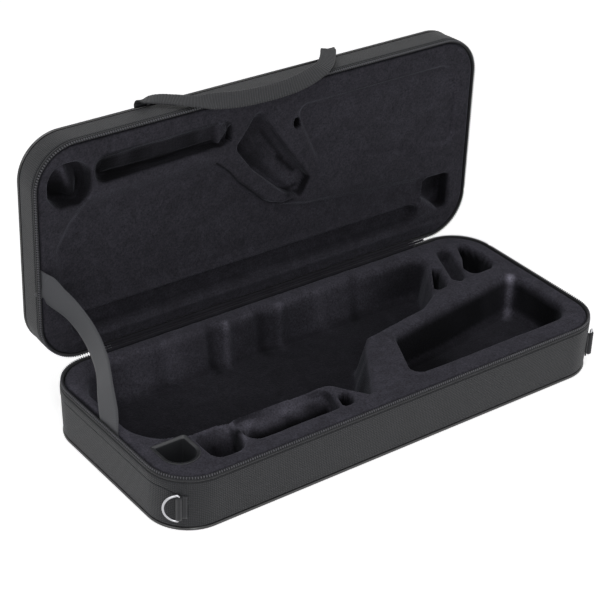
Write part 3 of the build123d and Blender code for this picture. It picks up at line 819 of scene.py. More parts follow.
baseLiner = {
    "step": 1.5,
    "face": 72.0,
    "facing": 1,
    "back": 4.6,
    "lean": baseLean,
    "edgeRoll": 3.6,
    "edgeDrop": 7.0,
    "brightness": 2.15,
    "unevenTop": 0.25,
    "gap": {"y": 45, "reach": 55, "inward": 4.0, "fade": 9, "from": -250},
    # each hollow's lip, wall and floor tones are painted light and shade, multiplied into the velour's colour
    "hollows": {
        "main": {
            "corners": [
                (-303, 119, 48), (-303, -64, 72), (-62, -64, 20), (-32, -109, 2), (-26, -109, 2),
                (42, -9, 12), (148, 10, 50), (183, 30, 12), (240, 118, 16),
            ],
            "depth": 58,
            "lip": [
                (-200, -64, 12), (-100, -66, 11), (-45, -85, 4), (0, -62, 3.5), (35, -14, 4), (90, 4, 6),
                (170, 22, 9), (210, 70, 10), (235, 105, 10), (100, 118, 8), (-150, 118, 7), (-303, 60, 18),
                (-290, -20, 20), (-260, -55, 16),
            ],
            "lipDown": [
                (-200, -64, 10), (-100, -66, 10), (-45, -85, 4), (0, -62, 3.5), (35, -14, 4), (90, 4, 6),
                (170, 22, 8), (210, 70, 9), (235, 105, 9), (100, 118, 10), (-150, 118, 8), (-303, 60, 14),
                (-290, -20, 16), (-260, -55, 12),
            ],
            "lean": [
                (0, 118, 4), (-200, -60, 5), (-8, -70, 9), (12, -45, 13), (26, -25, 11), (-300, 20, 5),
                (120, 8, 5),
            ],
            "foot": 9,
            "run": 18,
            "uneven": 0.8,
            "waves": [
                (-83, 118, 7, 22, 6), (-105, 118, 9, 22, -4.5), (-2, 118, 10, 22, 4),
                (-30, 118, 9, 22, -3.5), (60, 118, 22, 22, 2), (-170, 118, 20, 20, 2),
                (-240, 110, 18, 18, -2), (120, 118, 12, 20, -2),
            ],
            "lipPaintedShading": [
                (-83, 118, 1.2), (100, 118, 1.1), (-130, -64, 1.15), (20, -40, 0.9), (180, 25, 1.1),
                (-290, 0, 1.0),
            ],
            "wallPaintedShading": [
                (-150, 118, 1.0), (100, 118, 0.95), (235, 90, 0.3), (205, 60, 0.3), (-303, 60, 0.9),
                (-280, -40, 0.35), (-150, -64, 0.3), (-40, -90, 0.3), (-8, -70, 0.1), (20, -32, 0.12),
                (100, 5, 0.3), (180, 25, 0.4),
            ],
            "floorPaintedShading": [
                (-150, 90, 0.42), (-250, -20, 0.26), (-150, -40, 0.26), (0, 40, 0.3), (150, 70, 0.32),
                (-200, 30, 0.32),
            ],
        },
        "storage": {
            "corners": [(36, -108, 14), (303, -108, 34), (303, 12, 18), (74, -26, 13)],
            "depth": 54,
            "lip": [
                (45, -80, 2.6), (60, -45, 3), (110, -16, 10), (200, -3, 11), (270, 8, 9), (303, -40, 3.2),
                (290, -100, 3.2), (180, -108, 3),
            ],
            "lipDown": [
                (45, -80, 2.6), (60, -45, 3), (110, -16, 13), (200, -3, 14), (270, 8, 9), (303, -40, 3.2),
                (290, -100, 3.2), (180, -108, 3),
            ],
            "lean": [(180, -20, 7), (45, -80, 2), (303, -40, 3), (180, -108, 1.5)],
            "foot": 8,
            "run": 16,
            "uneven": 0.5,
            "lipPaintedShading": [(150, -10, 0.7), (45, -80, 0.8), (280, 10, 1.1), (303, -60, 0.9)],
            "wallPaintedShading": [
                (75, -30, 0.04), (150, -14, 0.01), (230, -2, 0.02), (268, 3, 0.15), (296, 6, 0.5),
                (303, -14, 0.05), (303, -60, 0.0), (290, -100, 0.02), (45, -80, 0.05), (180, -108, 0.02),
            ],
            "floorPaintedShading": [(90, -80, 0.17), (180, -70, 0.36), (260, -40, 0.44), (120, -50, 0.08)],
        },
        "cornerPocket": {
            "corners": [
                (261, 40, 9), (300, 40, 14), (306, 76, 30), (301, 109, 5), (290, 108, 5), (280, 84, 30),
                (261, 60, 10),
            ],
            "depth": 42,
            "lip": [(262, 50, 6), (303, 70, 3), (280, 85, 7), (296, 108, 3)],
            "lean": 0.8,
            "foot": 3,
            "run": 6,
            "wallPaintedShading": 0.05,
            "floorPaintedShading": 0.05,
        },
        "sidePocket": {
            "corners": [(189, 33, 4), (213, 36, 8), (228, 70, 9), (226, 85, 2)],
            "depth": 40,
            "lip": 4.6,
            "lean": 0.8,
            "foot": 2,
            "run": 3.5,
            "lipPaintedShading": 0.9,
            "wallPaintedShading": 0.06,
            "floorPaintedShading": 0.03,
        },
        "saddle": {
            "corners": [(229, 42, 9), (243, 36, 9), (274, 108, 10), (259, 115, 10)],
            "depth": 18,
            "lip": 9,
            "lipDown": 8,
            "lean": 2,
            "foot": 6,
            "run": 8,
            "wallPaintedShading": 0.45,
            "floorPaintedShading": 0.45,
        },
        "frontPocket": {
            "corners": [(-256, -62, 14), (-256, -119, 14), (-210, -119, 18), (-208, -62, 10)],
            "depth": frontPocketFloor,
            "lip": [(-232, -62, 10), (-256, -90, 4), (-240, -119, 3), (-210, -100, 2)],
            "lean": 1.5,
            "foot": 4,
            "run": 8,
            "lipPaintedShading": [(-232, -62, 1.5), (-256, -90, 1.1), (-240, -119, 0.9), (-210, -100, 1)],
            "wallPaintedShading": [(-232, -62, 1.4), (-256, -90, 0.5), (-240, -119, 0.08), (-210, -100, 0.2)],
            "floorPaintedShading": [(-232, -66, 1.2), (-232, -75, 0.6), (-235, -82, 0.1), (-235, -92, 0.02)],
        },
        "trough": {
            "corners": [(-201, -64, 12), (-203, -113, 16), (-77, -113, 7), (-66, -70, 13)],
            "depth": troughFloor,
            "lip": [(-130, -64, 10), (-130, -113, 2.4), (-200, -90, 3), (-56, -100, 2.4)],
            "lean": 1.5,
            "foot": 5,
            "run": 9,
            "lipPaintedShading": [(-130, -64, 1.0), (-130, -113, 0.9), (-200, -90, 1.1), (-78, -100, 1.1)],
            "wallPaintedShading": [(-130, -64, 1.1), (-130, -113, 0.1), (-200, -90, 0.5), (-78, -100, 0.4)],
            "floorPaintedShading": [
                (-180, -68, 1.4), (-130, -68, 1.5), (-90, -68, 1.4), (-180, -76, 1.1), (-130, -76, 1),
                (-90, -76, 0.6),
                (-180, -83, 0.25), (-130, -83, 0.25), (-90, -83, 0.3), (-180, -92, 0.06), (-130, -92, 0.06),
                (-90, -92, 0.06),
            ],
        },
        "neckPocket": {
            "corners": [(-74, -115, 5), (-58, -114, 6), (-51, -103, 6), (-53, -89, 5), (-66, -90, 7)],
            "depth": 40,
            "lip": 2.6,
            "lean": 0.8,
            "foot": 2,
            "run": 4,
            "wallPaintedShading": 0.06,
            "floorPaintedShading": 0.05,
        },
        "cupWell": {
            "corners": [(-306.5, -62, 3), (-306.5, -107.2, 20), (-262.5, -107.2, 20), (-262.5, -62, 3)],
            "depth": 44,
            "lip": 1.5,
            "lean": 0.3,
            "foot": 1,
            "run": 2.5,
            "wallPaintedShading": 0.1,
            "floorPaintedShading": 0.1,
        },
    },
    "ridges": [
        {
            "path": [(-226, -119), (-206, -102), (-190, -76)], "top": [-3, -12, -6], "width": 4, "fall": 14,
            "reach": 9,
        },
    ],
    "grooves": [
        {"path": [(-284, -35), (-278, -20)], "depth": 7, "width": 2.4},
    ],
    "paintedShadingLines": [
        # painted highlights and painted shade along lines, partly where the pile lies the other way: a path,
        # how wide it is and how light
        ([(-83, 117), (-86, 102)], 4.5, 1.9),
        ([(-104, 118), (-104, 100)], 7, 0.45),
        ([(-1, 117), (-3, 100)], 5, 1.6),
        ([(-28, 118), (-30, 100)], 7, 0.55),
        ([(-235, 113), (-200, 110)], 9, 1.5),
        ([(-170, 116), (-140, 106)], 8, 1.35),
        ([(62, 116), (70, 104)], 9, 1.4),
        ([(120, 116), (118, 104)], 8, 0.6),
        ([(-216, -70), (-170, -76), (-130, -74), (-100, -70), (-78, -69)], 6.5, 2.0),
        ([(-208, -89), (-80, -89)], 5, 0.15),
        ([(-226, -119), (-206, -102), (-190, -78)], 3.5, 2.2),
        ([(-320, 90), (-322, 10)], 9, 1.3),
        ([(-312, -60), (-318, 0)], 8, 1.2),
        ([(-22, -102), (8, -58), (33, -22)], 2.2, 1.6),
        ([(-27, -98), (2, -55), (29, -15)], 4, 0.2),
        ([(283, -8), (297, 7)], 5, 5.0),
    ],
}

basePlush = linerPiece("basePlush", baseLiner, onBase, velour)
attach(basePlush, "base")
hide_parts("base_liner")
print("base liner:", len(basePlush.data.vertices), "points")

# the lid's liner


def leafFloor(x, y):
    # deepest beside its lower left edge, rising in two soft folds to the upper right one
    deepest, firstRise, secondRise, foldHeight = 23, 9, 7, 3
    away, along = lineDistance(x, y, [(-52, -74), (-40, -50), (-22, -34), (0, -14), (24, 8)])
    fold = foldHeight * np.exp(-((away - 26) / 4) ** 2) - foldHeight * np.exp(-((away - 40) / 5) ** 2)
    floor = deepest - firstRise * smoothStep(6, 20, away) - secondRise * smoothStep(30, 46, away)
    return floor - fold * (1 - along)


def roundFloor(x, y):
    # two lobes with a slanting ridge between them
    deepest, ridgeHeight, ridgeWidth = 24, 9, 6.5
    away = lineDistance(x, y, [(-288, -114), (-282, -97), (-275, -77), (-269, -60)])[0]
    return deepest - ridgeHeight * np.exp(-(away / ridgeWidth) ** 2)


def lidTroughFloor(x, y):
    # slopes in from its front side to its deepest along the other, with a low ridge by the end pocket
    shallow, fall, ridgeHeight = 3, 12, 7
    ridge = ridgeHeight * np.exp(-((x + 74) / 4.5) ** 2)
    return shallow + fall * smoothStep(-116, -84, y) - ridge


lidLiner = {
    "step": 1.5,
    "face": 2.0,
    "facing": -1,
    "back": 39.4,
    "lean": lidLean,
    "edgeRoll": 3.6,
    "edgeDrop": 6.0,
    "brightness": 1.24,
    "unevenTop": 0.3,
    # each hollow's lip, wall and floor tones are painted light and shade, multiplied into the velour's colour
    "hollows": {
        "hornRecess": {
            "corners": [
                (-301, 80, 16), (-301, -10, 20), (-284, -38, 10), (-262, -59, 8), (-84, -61, 12),
                (-45, -27, 30),
                (-7, 9, 20), (20, 21, 12), (60, 31, 20), (156, 40, 30), (252, 50, 8), (262, 80, 12),
            ],
            "depth": 7,
            "soft": [
                (-292, -24, 0.6), (-305, 40, 1), (-230, -60, 1), (-100, -60, 1), (-62, -45, 0.3),
                (0, 15, 0.1), (60, 31, 0.3), (150, 40, 0.75), (250, 51, 0.6), (-100, 80, 0.4),
            ],
            "softWidth": 12,
            "lip": [
                (-292, -24, 4), (-60, -40, 2.5), (0, 15, 3), (150, 38, 9), (-100, 80, 8), (-180, -60, 16),
                (-120, -60, 12), (-240, -58, 12),
            ],
            "lipDown": [(-292, -24, 4), (-60, -40, 3), (0, 15, 3), (150, 38, 4), (-180, -60, 4)],
            "lean": 2,
            "foot": 3,
            "run": 7,
            "wallPaintedShading": 0.95,
            "floorPaintedShading": 1,
        },
        "roundPocket": {
            "corners": [(-311, -60, 24), (-311, -115, 24), (-252, -115, 24), (-252, -60, 24)],
            "depth": roundFloor,
            "lip": [(-311, -90, 4), (-282, -115, 7), (-252, -90, 4), (-282, -60, 5)],
            "lean": 2.5,
            "foot": 8,
            "run": 13,
            "wallPaintedShading": [(-282, -115, 0.8), (-311, -80, 0.15), (-282, -60, 0.15), (-252, -80, 0.25)],
            "floorPaintedShading": [(-292, -74, 0.06), (-258, -82, 0.1), (-297, -106, 0.8), (-268, -106, 0.6)],
        },
        "lidTrough": {
            "corners": [(-247, -79, 14), (-247, -113, 15), (-57, -115, 14), (-57, -84, 12)],
            "depth": lidTroughFloor,
            "lip": [(-150, -82, 3), (-150, -113, 10), (-250, -96, 6), (-58, -100, 4)],
            "lean": [(-150, -82, 0.3), (-150, -113, 3), (-250, -96, 3), (-58, -100, 2)],
            "foot": [(-150, -82, 2.5), (-150, -113, 7), (-250, -96, 6), (-58, -100, 4)],
            "run": 11,
            "lipPaintedShading": [(-150, -82, 0.8), (-150, -113, 1), (-250, -96, 0.8)],
            "wallPaintedShading": [
                (-220, -82, 0.06), (-150, -82, 0.08), (-80, -84, 0.12), (-150, -113, 0.9), (-247, -96, 0.1),
                (-58, -100, 0.5),
            ],
            "floorPaintedShading": [
                (-230, -92, 0.05), (-190, -90, 0.08), (-150, -90, 0.12), (-110, -90, 0.2),
                (-150, -108, 0.8), (-90, -100, 0.7), (-200, -108, 0.6),
            ],
        },
        "backTrough": {
            "corners": [(-285, 85, 14), (248, 85, 14), (248, 115, 14), (-285, 115, 14)],
            "depth": 16,
            "lip": 4,
            "lean": 3,
            "foot": 7,
            "run": 12,
            "wallPaintedShading": [(0, 85, 0.7), (0, 115, 1)],
            "floorPaintedShading": 0.95,
        },
        "leaf": {
            "corners": [
                (-17, -116, 6), (-52, -74, 10), (-22, -34, 40), (24, 8, 40), (52, 20, 6), (65, -4, 6),
                (38, -38, 60),
            ],
            "depth": leafFloor,
            "lip": [(-50, -75, 2), (-20, -32, 2), (30, 10, 2.5), (60, 5, 2), (40, -35, 6), (0, -90, 6)],
            "lean": 1.5,
            "foot": 5,
            "run": 9,
            "wallPaintedShading": [
                (-50, -70, 0.1), (-20, -32, 0.05), (10, -2, 0.15), (35, 12, 0.6), (60, 5, 0.2),
                (40, -35, 0.8), (-10, -100, 0.8),
            ],
            "floorPaintedShading": [
                (-35, -75, 0.55), (-15, -50, 0.6), (10, -20, 1.2), (30, 0, 1.4), (30, -30, 0.9),
                (0, -80, 0.7),
            ],
        },
        "storageRecess": {
            "corners": [(36, -108, 14), (303, -108, 34), (303, 10, 18), (74, -28, 13)],
            "depth": 5,
            "lip": [(60, -50, 1.6), (303, -40, 1.6), (180, -108, 1.6), (180, -8, 5)],
            "lean": 1,
            "foot": 1.6,
            "run": 4,
            "soft": [(60, -50, 0.85), (303, -40, 0.6), (180, -108, 0.55), (180, -8, 1)],
            "softWidth": 6,
            "wallPaintedShading": [(60, -50, 1.1), (303, -40, 1.35), (180, -108, 0.45), (180, -8, 0.9)],
            "floorPaintedShading": 1.05,
        },
        "smallPocket": {
            "corners": [(255, 54, 10), (299, 52, 6), (299, 104, 8), (284, 104, 8), (255, 80, 10)],
            "depth": 20,
            "lip": [(255, 60, 8), (299, 60, 3), (290, 104, 4), (262, 90, 7)],
            "lean": 2,
            "foot": 6,
            "run": 9,
            "wallPaintedShading": [(255, 60, 0.5), (299, 60, 0.2), (299, 90, 0.1), (275, 54, 0.3), (270, 94, 0.7)],
            "floorPaintedShading": [(270, 70, 0.6), (288, 75, 0.25), (275, 90, 0.8)],
        },
        "slot": {
            "corners": [(36, -78, 4.6), (36, -93, 4.6), (45.5, -93, 4.6), (45.5, -78, 4.6)],
            "depth": 10,
            "lip": 1.4,
            "lean": 0.4,
            "foot": 1,
            "run": 2.2,
            "wallPaintedShading": 0.1,
            "floorPaintedShading": 0.05,
        },
        "neckEnd": {
            "corners": [(-71, -86, 4), (-71, -108, 5), (-56, -108, 5), (-56, -86, 4)],
            "depth": 25,
            "lip": 1.5,
            "lean": 0.5,
            "foot": 2,
            "run": 3.5,
            "wallPaintedShading": 0.15,
            "floorPaintedShading": 0.05,
        },
    },
    "grooves": [
        {
            "path": [(-78, -61), (-61, -46), (-45, -27), (-21, -5), (-7, 9), (5, 17), (20, 21), (37, 20)],
            "depth": 2.2, "width": 1.6,
        },
    ],
    "mounds": [
        {"path": [(-285, 122), (290, 122)], "height": 1.2, "width": 3.0},
    ],
    "paintedShadingLines": [
        # painted highlights and painted shade along lines: a path, how wide it is and how light
        ([(-287, -108), (-282, -97), (-277, -84)], 4.0, 3.2),
        ([(-76, -112), (-75, -88)], 3, 1.8),
        ([(20, -40), (46, -14)], 3.5, 0.25),
        ([(-6, -81), (28, -36)], 3, 0.45),
        ([(-46, -78), (-20, -52), (8, -24)], 5, 0.8),
        ([(30, 12), (50, 8)], 3, 0.3),
        ([(-285, 122), (290, 122)], 3, 1.35),
        ([(-303, -4), (-283, -38), (-262, -57)], 3, 1.25),
        ([(-240, -66), (-150, -68), (-80, -70)], 7, 1.15),
        ([(-225, -85), (-164, -85), (-80, -89)], 3.5, 0.2),
        ([(257, 80), (283, 101)], 3, 1.5),
    ],
}

lidPlush = linerPiece("lidPlush", lidLiner, onLid, velour)
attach(lidPlush, "lid")
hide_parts("lid_liner")
print("lid liner:", len(lidPlush.data.vertices), "points")

# walls, piping and zip


def sweepRound(name, profile, place, material, keep, leanAt, step):
    # a closed cross-section of gap and height pairs, carried round the case's plan. keep says which
    # stretch of the plan it covers, and the ends are capped where it isn't the whole round
    outline, outward = roundedOutline(step)
    count = len(outline)
    picked = list(range(count))
    whole = keep is None
    if not whole:
        inside = [keep(px, py) for px, py in outline]
        k = next(k for k in range(count) if inside[k] and not inside[k - 1])
        picked = []
        while inside[k % count] and len(picked) < count:
            picked.append(k % count)
            k += 1
    rows, uvs = [], []
    far = 0.0
    for m, k in enumerate(picked):
        section = np.asarray(profile(outline[k][0], outline[k][1]), float)
        gap, height = section[:, 0], section[:, 1]
        inset = gap + leanAt(height)
        rows.append(np.column_stack([outline[k] - outward[k] * inset[:, None], height]))
        if m:
            far += np.linalg.norm(outline[k] - outline[picked[m - 1]])
        around = np.concatenate([[0], np.cumsum(np.hypot(np.diff(gap), np.diff(height)))])
        around = np.append(around, around[-1] + hypot(gap[0] - gap[-1], height[0] - height[-1]))
        uvs.append(np.column_stack([np.full(len(around), far), around + height[0]]))
    if whole:
        last = far + np.linalg.norm(outline[picked[0]] - outline[picked[-1]])
        uvs.append(np.column_stack([np.full(len(uvs[0]), last), uvs[0][:, 1]]))
    points = place(np.array(rows))
    return gridPiece(name, points, material, loopAlong=whole, uv=np.array(uvs) * mm, caps=not whole)


def offHinge(x, y):
    return not (y > case["halfWidth"] - 1 and abs(x) < case["hingeHalf"] - 0.01)


def onHinge(x, y):
    # one outline step past the tapes' ends, where the strip goes under them
    return y > case["halfWidth"] - 1 and abs(x) < case["hingeHalf"] + 10


coverSettings = {
    "thickness": 1.2,
    "bulge": 0.35,
    "bandDrop": 12,
    "bandProud": 0.55,
    "bandDip": 6,
    "bandBend": (25, 50),  # degrees round the front corner where the seam dips, and where it ends
    "bandEnd": (50, 58),
    "bandBack": (118, 140),  # where it ends on the back corner
    "creaseDepth": 1.7,
    "lidEdge": 6.5,
    "cordEdge": 4.9,  # from the case's outer face to where the cloth comes out under the cord
    "rollHeight": 2.2,
    "cordRoll": 2.0,
    "zipRoll": 2.2,
    "lining": 1.8,
}


def rolledEdge(away, reach):
    # how far the cloth is rolled in at this distance from its edge
    return reach * (1 - sqrt(max(0, 1 - (1 - min(1, away / coverSettings["rollHeight"])) ** 2)))


def bandEdge(x, y):
    # height of the extra seam on the left end wall, and how far the cloth above it stands proud:
    # it runs under the zip and bends down to the ring's tab on the front corner
    cornerX, cornerY = -case["halfLength"] + case["cornerRadius"], -case["halfWidth"] + case["cornerRadius"]
    angle = 90
    if x < cornerX:
        angle = degrees(atan2(cornerY - y, cornerX - x)) if y < cornerY else 0
    fade = 1 - smoothStep(*coverSettings["bandEnd"], angle)
    if y > 100:
        fade = fade * (1 - smoothStep(*coverSettings["bandBack"], y))
    dip = coverSettings["bandDip"] * smoothStep(*coverSettings["bandBend"], angle)
    height = case["seamHeight"] - coverSettings["bandDrop"] - dip
    return height, coverSettings["bandProud"] * fade * (x < 0)


def baseWall(x, y):
    # rolled in over the bottom cord and under the zip's tape, with the seam as a narrow crease
    top, bottom = case["seamHeight"] - 0.5, coverSettings["cordEdge"]
    line, proud = bandEdge(x, y)
    crease = coverSettings["creaseDepth"] * proud / coverSettings["bandProud"]
    heights = [bottom + rise for rise in (0, 0.3, 0.8, 1.6, 2.4)] + [10, 16, 26, 38]
    heights += [line + rise for rise in (-2, -1.2, -0.6, 0, 0.6, 1.2, 2)]
    heights += [top - drop for drop in (3, 2, 1.1, 0.5, 0)]
    outer = []
    for h in heights:
        share = (h - bottom) / (top - bottom)
        bulge = coverSettings["bulge"] * sin(pi * share) * (1 + 0.5 * sin(x / 37) * cos(y / 29 + h / 23))
        foot = rolledEdge(h - bottom, coverSettings["cordRoll"])
        head = rolledEdge(top - h, coverSettings["zipRoll"])
        dent = crease * max(0, 1 - abs(h - line) / 1.2)
        lift = proud * smoothStep(line - 0.2, line + 0.2, h) * (1 - smoothStep(top - 2.6, top - 1.4, h))
        outer.append((foot + head + dent - bulge - lift, h))
    back = coverSettings["thickness"] + coverSettings["lining"]
    return outer + [(back, top), (back, bottom)]


def lidWall(x, y):
    top, bottom = coverSettings["lidEdge"], case["lidHeight"] - coverSettings["cordEdge"]
    heights = [top + rise for rise in (0, 0.5, 1.1, 2, 3)] + [13, 18, 24, 30, 35]
    heights += [bottom - drop for drop in (2.4, 1.6, 0.8, 0.3, 0)]
    outer = []
    for h in heights:
        share = (h - top) / (bottom - top)
        bulge = coverSettings["bulge"] * sin(pi * share) * (1 + 0.5 * sin(x / 41 + 1) * cos(y / 31 + h / 17))
        foot = rolledEdge(bottom - h, coverSettings["cordRoll"])
        head = rolledEdge(h - top, coverSettings["zipRoll"])
        outer.append((foot + head - bulge, h))
    back = coverSettings["thickness"] + coverSettings["lining"]
    return outer + [(back, bottom), (back, top)]


def roundSection(gap, height, radius, count=14):
    turns = [2 * pi * k / count for k in range(count)]
    return [(gap + radius * cos(t), height + radius * sin(t)) for t in turns]


cord = {"gap": 1.0, "radius": 2.0}  # it stands a little proud of the cloth


def basePipingSection(x, y):
    return roundSection(cord["gap"], cord["radius"], cord["radius"])


def lidPipingSection(x, y):
    return roundSection(cord["gap"], case["lidHeight"] - cord["radius"], cord["radius"])


rim = {"low": case["seamHeight"] - 1.2, "step": 71.3, "top": 73.6}  # heights on the base's rim


def baseTapeSection(x, y):
    # comes out from behind the cloth's rolled edge, with a narrow step where the teeth are sewn to it,
    # and stands up behind them as far as the rim
    low, step, top = rim["low"], rim["step"], rim["top"]
    return [
        (2.6, low), (1.3, low + 0.8), (0.6, low + 1.8), (0.3, low + 3), (0.3, step - 1), (0.45, step - 0.4),
        (0.9, step), (1.6, step), (2.3, step - 0.3), (2.5, step + 0.3), (2.6, top - 0.3), (2.9, top),
        (3.4, top), (3.7, top - 0.4), (3.7, low),
    ]


def lidTapeSection(x, y):
    return [(gap, case["baseHeight"] - height) for gap, height in baseTapeSection(x, y)]


def baseStripSection(x, y):
    # the lining along the hinge fills the place that the tape and teeth have elsewhere
    low, top = rim["low"], rim["top"]
    return [
        (2.6, low), (1.5, low + 0.8), (0.8, low + 1.8), (0.5, low + 3), (0.5, top - 1.4), (0.7, top - 0.5),
        (1.2, top), (4.2, top), (4.6, top - 0.5), (4.6, low),
    ]


def lidStripSection(x, y):
    return [(gap, case["baseHeight"] - height) for gap, height in baseStripSection(x, y)]


pieces = [
    ("baseWallCloth", baseWall, cloth, None, "base", "base_cover", "woven_cloth"),
    ("lidWallCloth", lidWall, cloth, None, "lid", "lid_cover", "woven_cloth"),
    ("basePipingCord", basePipingSection, pipingVinyl, None, "base", "base_piping", "piping"),
    ("lidPipingCord", lidPipingSection, pipingVinyl, None, "lid", "lid_piping", "piping"),
    ("baseTape", baseTapeSection, zipTape, offHinge, "base", "base_zip_tape", "zip_tape"),
    ("lidTape", lidTapeSection, zipTape, offHinge, "lid", "lid_zip_tape", "zip_tape"),
    ("hingeStripLow", baseStripSection, lining, onHinge, "base", "hinge_strip_base", "lining_cloth"),
    ("hingeStripHigh", lidStripSection, lining, onHinge, "lid", "hinge_strip_lid", "lining_cloth"),
]
for name, section, material, keep, body, node, slotName in pieces:
    place, leanAt = sides[body]
    made = sweepRound(name, section, place, material, keep, leanAt, 5 if keep else 7)
    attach(made, body)
    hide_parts(node)
print("walls, piping and tapes made")

zipSettings = {
    "pitch": 3.2,  # real coils run at about 1.5 mm, too fine to show
    "toothLength": 2.3,
    "toothWidth": 1.8,
    "toothHeight": 1.9,
    "gap": 2.5,
    "height": 72.75,
}


def alongOutline(spacing, inset, keep=None):
    # evenly spaced places round the plan, with the way out at each
    outline, outward = roundedOutline(2.0, cornerPoints=60)
    shifted = outline - outward * inset
    far = np.concatenate([[0], np.cumsum(np.linalg.norm(np.roll(shifted, -1, 0) - shifted, axis=1))])
    closed = np.concatenate([shifted, shifted[:1]])
    dirs = np.concatenate([outward, outward[:1]])
    places = []
    for k in range(int(far[-1] / spacing)):
        at = (k + 0.5) * spacing
        p = np.array([np.interp(at, far, closed[:, m]) for m in (0, 1)])
        d = unitVector(np.array([np.interp(at, far, dirs[:, m]) for m in (0, 1)]))
        if keep is None or keep(p[0], p[1] + inset * d[1]):
            places.append((p, d))
    return places


def toothShape(length, width, height):
    # one loop of the coil: a rounded bar, a little thicker at the end that meshes
    verts, faces = [], []
    rows = [(-0.5, 0.55), (-0.35, 0.95), (0.2, 1.0), (0.45, 1.15), (0.5, 0.8)]
    around = 6
    for reach, thick in rows:
        for k in range(around):
            t = 2 * pi * k / around
            verts.append((reach * length, 0.5 * width * thick * cos(t), 0.5 * height * (1 + thick * sin(t))))
    for k in range(len(rows) - 1):
        for m in range(around):
            a, b = k * around + m, k * around + (m + 1) % around
            faces.append((a, b, b + around, a + around))
    faces += [tuple(range(around)), tuple(range((len(rows) - 1) * around, len(rows) * around))]
    return verts, faces


def makeCoil(name, body, height, node):
    # the teeth stand along the tape's edge
    place, leanAt = sides[body]
    verts, faces = toothShape(
        zipSettings["toothLength"], zipSettings["toothWidth"], zipSettings["toothHeight"],
    )
    upward = 1 if body == "base" else -1
    spots = []
    for p, d in alongOutline(zipSettings["pitch"], zipSettings["gap"] + float(leanAt(height)), offHinge):
        axes = np.array([[0, 0, upward], [-d[1], d[0], 0], [d[0], d[1], 0]])
        spots.append((np.array([p[0], p[1], height]), axes))
    made = copies(name, verts, faces, spots, coilNylon, place)
    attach(made, body)
    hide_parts(node)


makeCoil("baseCoil", "base", zipSettings["height"], "base_zip_coil")
makeCoil("lidCoil", "lid", case["baseHeight"] - zipSettings["height"], "lid_zip_coil")

stitchSettings = {
    "length": 2.5,
    "width": 0.55,
    "thickness": 0.5,
    "spacing": 3.4,
    "gap": 0.2,
    "heights": {"base": 69.3, "lid": 4.7},
}


def stitchShape(length, width):
    # a short rounded bar along its third axis, sunk half into the cloth
    thickness = stitchSettings["thickness"]
    verts, faces = toothShape(length, width, thickness)
    return [(b, c - thickness / 2, a) for a, b, c in verts], faces


def makeStitches(name, body, height):
    # a row of sewn stitches all round
    place, leanAt = sides[body]
    verts, faces = stitchShape(stitchSettings["length"], stitchSettings["width"])
    spots = []
    for p, d in alongOutline(stitchSettings["spacing"], stitchSettings["gap"] + float(leanAt(height))):
        axes = np.array([[0, 0, 1], [d[0], d[1], 0], [-d[1], d[0], 0]])
        spots.append((np.array([p[0], p[1], height]), axes))
    made = copies(name, verts, faces, spots, thread, place)
    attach(made, body)


for body, height in stitchSettings["heights"].items():
    makeStitches(body + "Stitching", body, height)
print("zip and stitching made")

# the welt that covers the hinge's fold
weltSettings = {"radius": 1.5, "count": 14, "step": 4.0, "past": 25}


def makeWelt():
    half = case["hingeHalf"] + weltSettings["past"]
    turns = [2 * pi * k / weltSettings["count"] for k in range(weltSettings["count"])]
    rows = []
    for x in np.arange(-half, half + 0.1, weltSettings["step"]):
        r = weltSettings["radius"] * (1 + 0.03 * sin(x / 9))
        rows.append([(x, case["halfWidth"] + r * cos(t), case["baseHeight"] + r * sin(t)) for t in turns])
    made = gridPiece("hingeWelt", onBase(rows), lining, caps=True)
    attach(made, "base")
    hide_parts("hinge_welt")


makeWelt()

# straps


def smoothStations(stations, spacing):
    # a smooth run through the stations' middles, with the band's sideways direction carried along
    middles = np.array([s[0] for s in stations], float)
    sides = unitVector(np.array([s[1] for s in stations], float))
    padded = np.concatenate([[2 * middles[0] - middles[1]], middles, [2 * middles[-1] - middles[-2]]])
    sidesPadded = np.concatenate([[sides[0]], sides, [sides[-1]]])
    outMiddle, outSide = [], []
    for k in range(len(middles) - 1):
        p = padded[k:k + 4]
        q = sidesPadded[k:k + 4]
        length = np.linalg.norm(p[2] - p[1])
        pieces = max(2, int(length / spacing))
        for m in range(pieces):
            t = m / pieces
            weights = np.array([
                -0.5 * t + t * t - 0.5 * t ** 3,
                1 - 2.5 * t * t + 1.5 * t ** 3,
                0.5 * t + 2 * t * t - 1.5 * t ** 3,
                -0.5 * t * t + 0.5 * t ** 3,
            ])
            outMiddle.append(weights @ p)
            outSide.append(weights @ q)
    outMiddle.append(middles[-1])
    outSide.append(sides[-1])
    return np.array(outMiddle), unitVector(np.array(outSide))


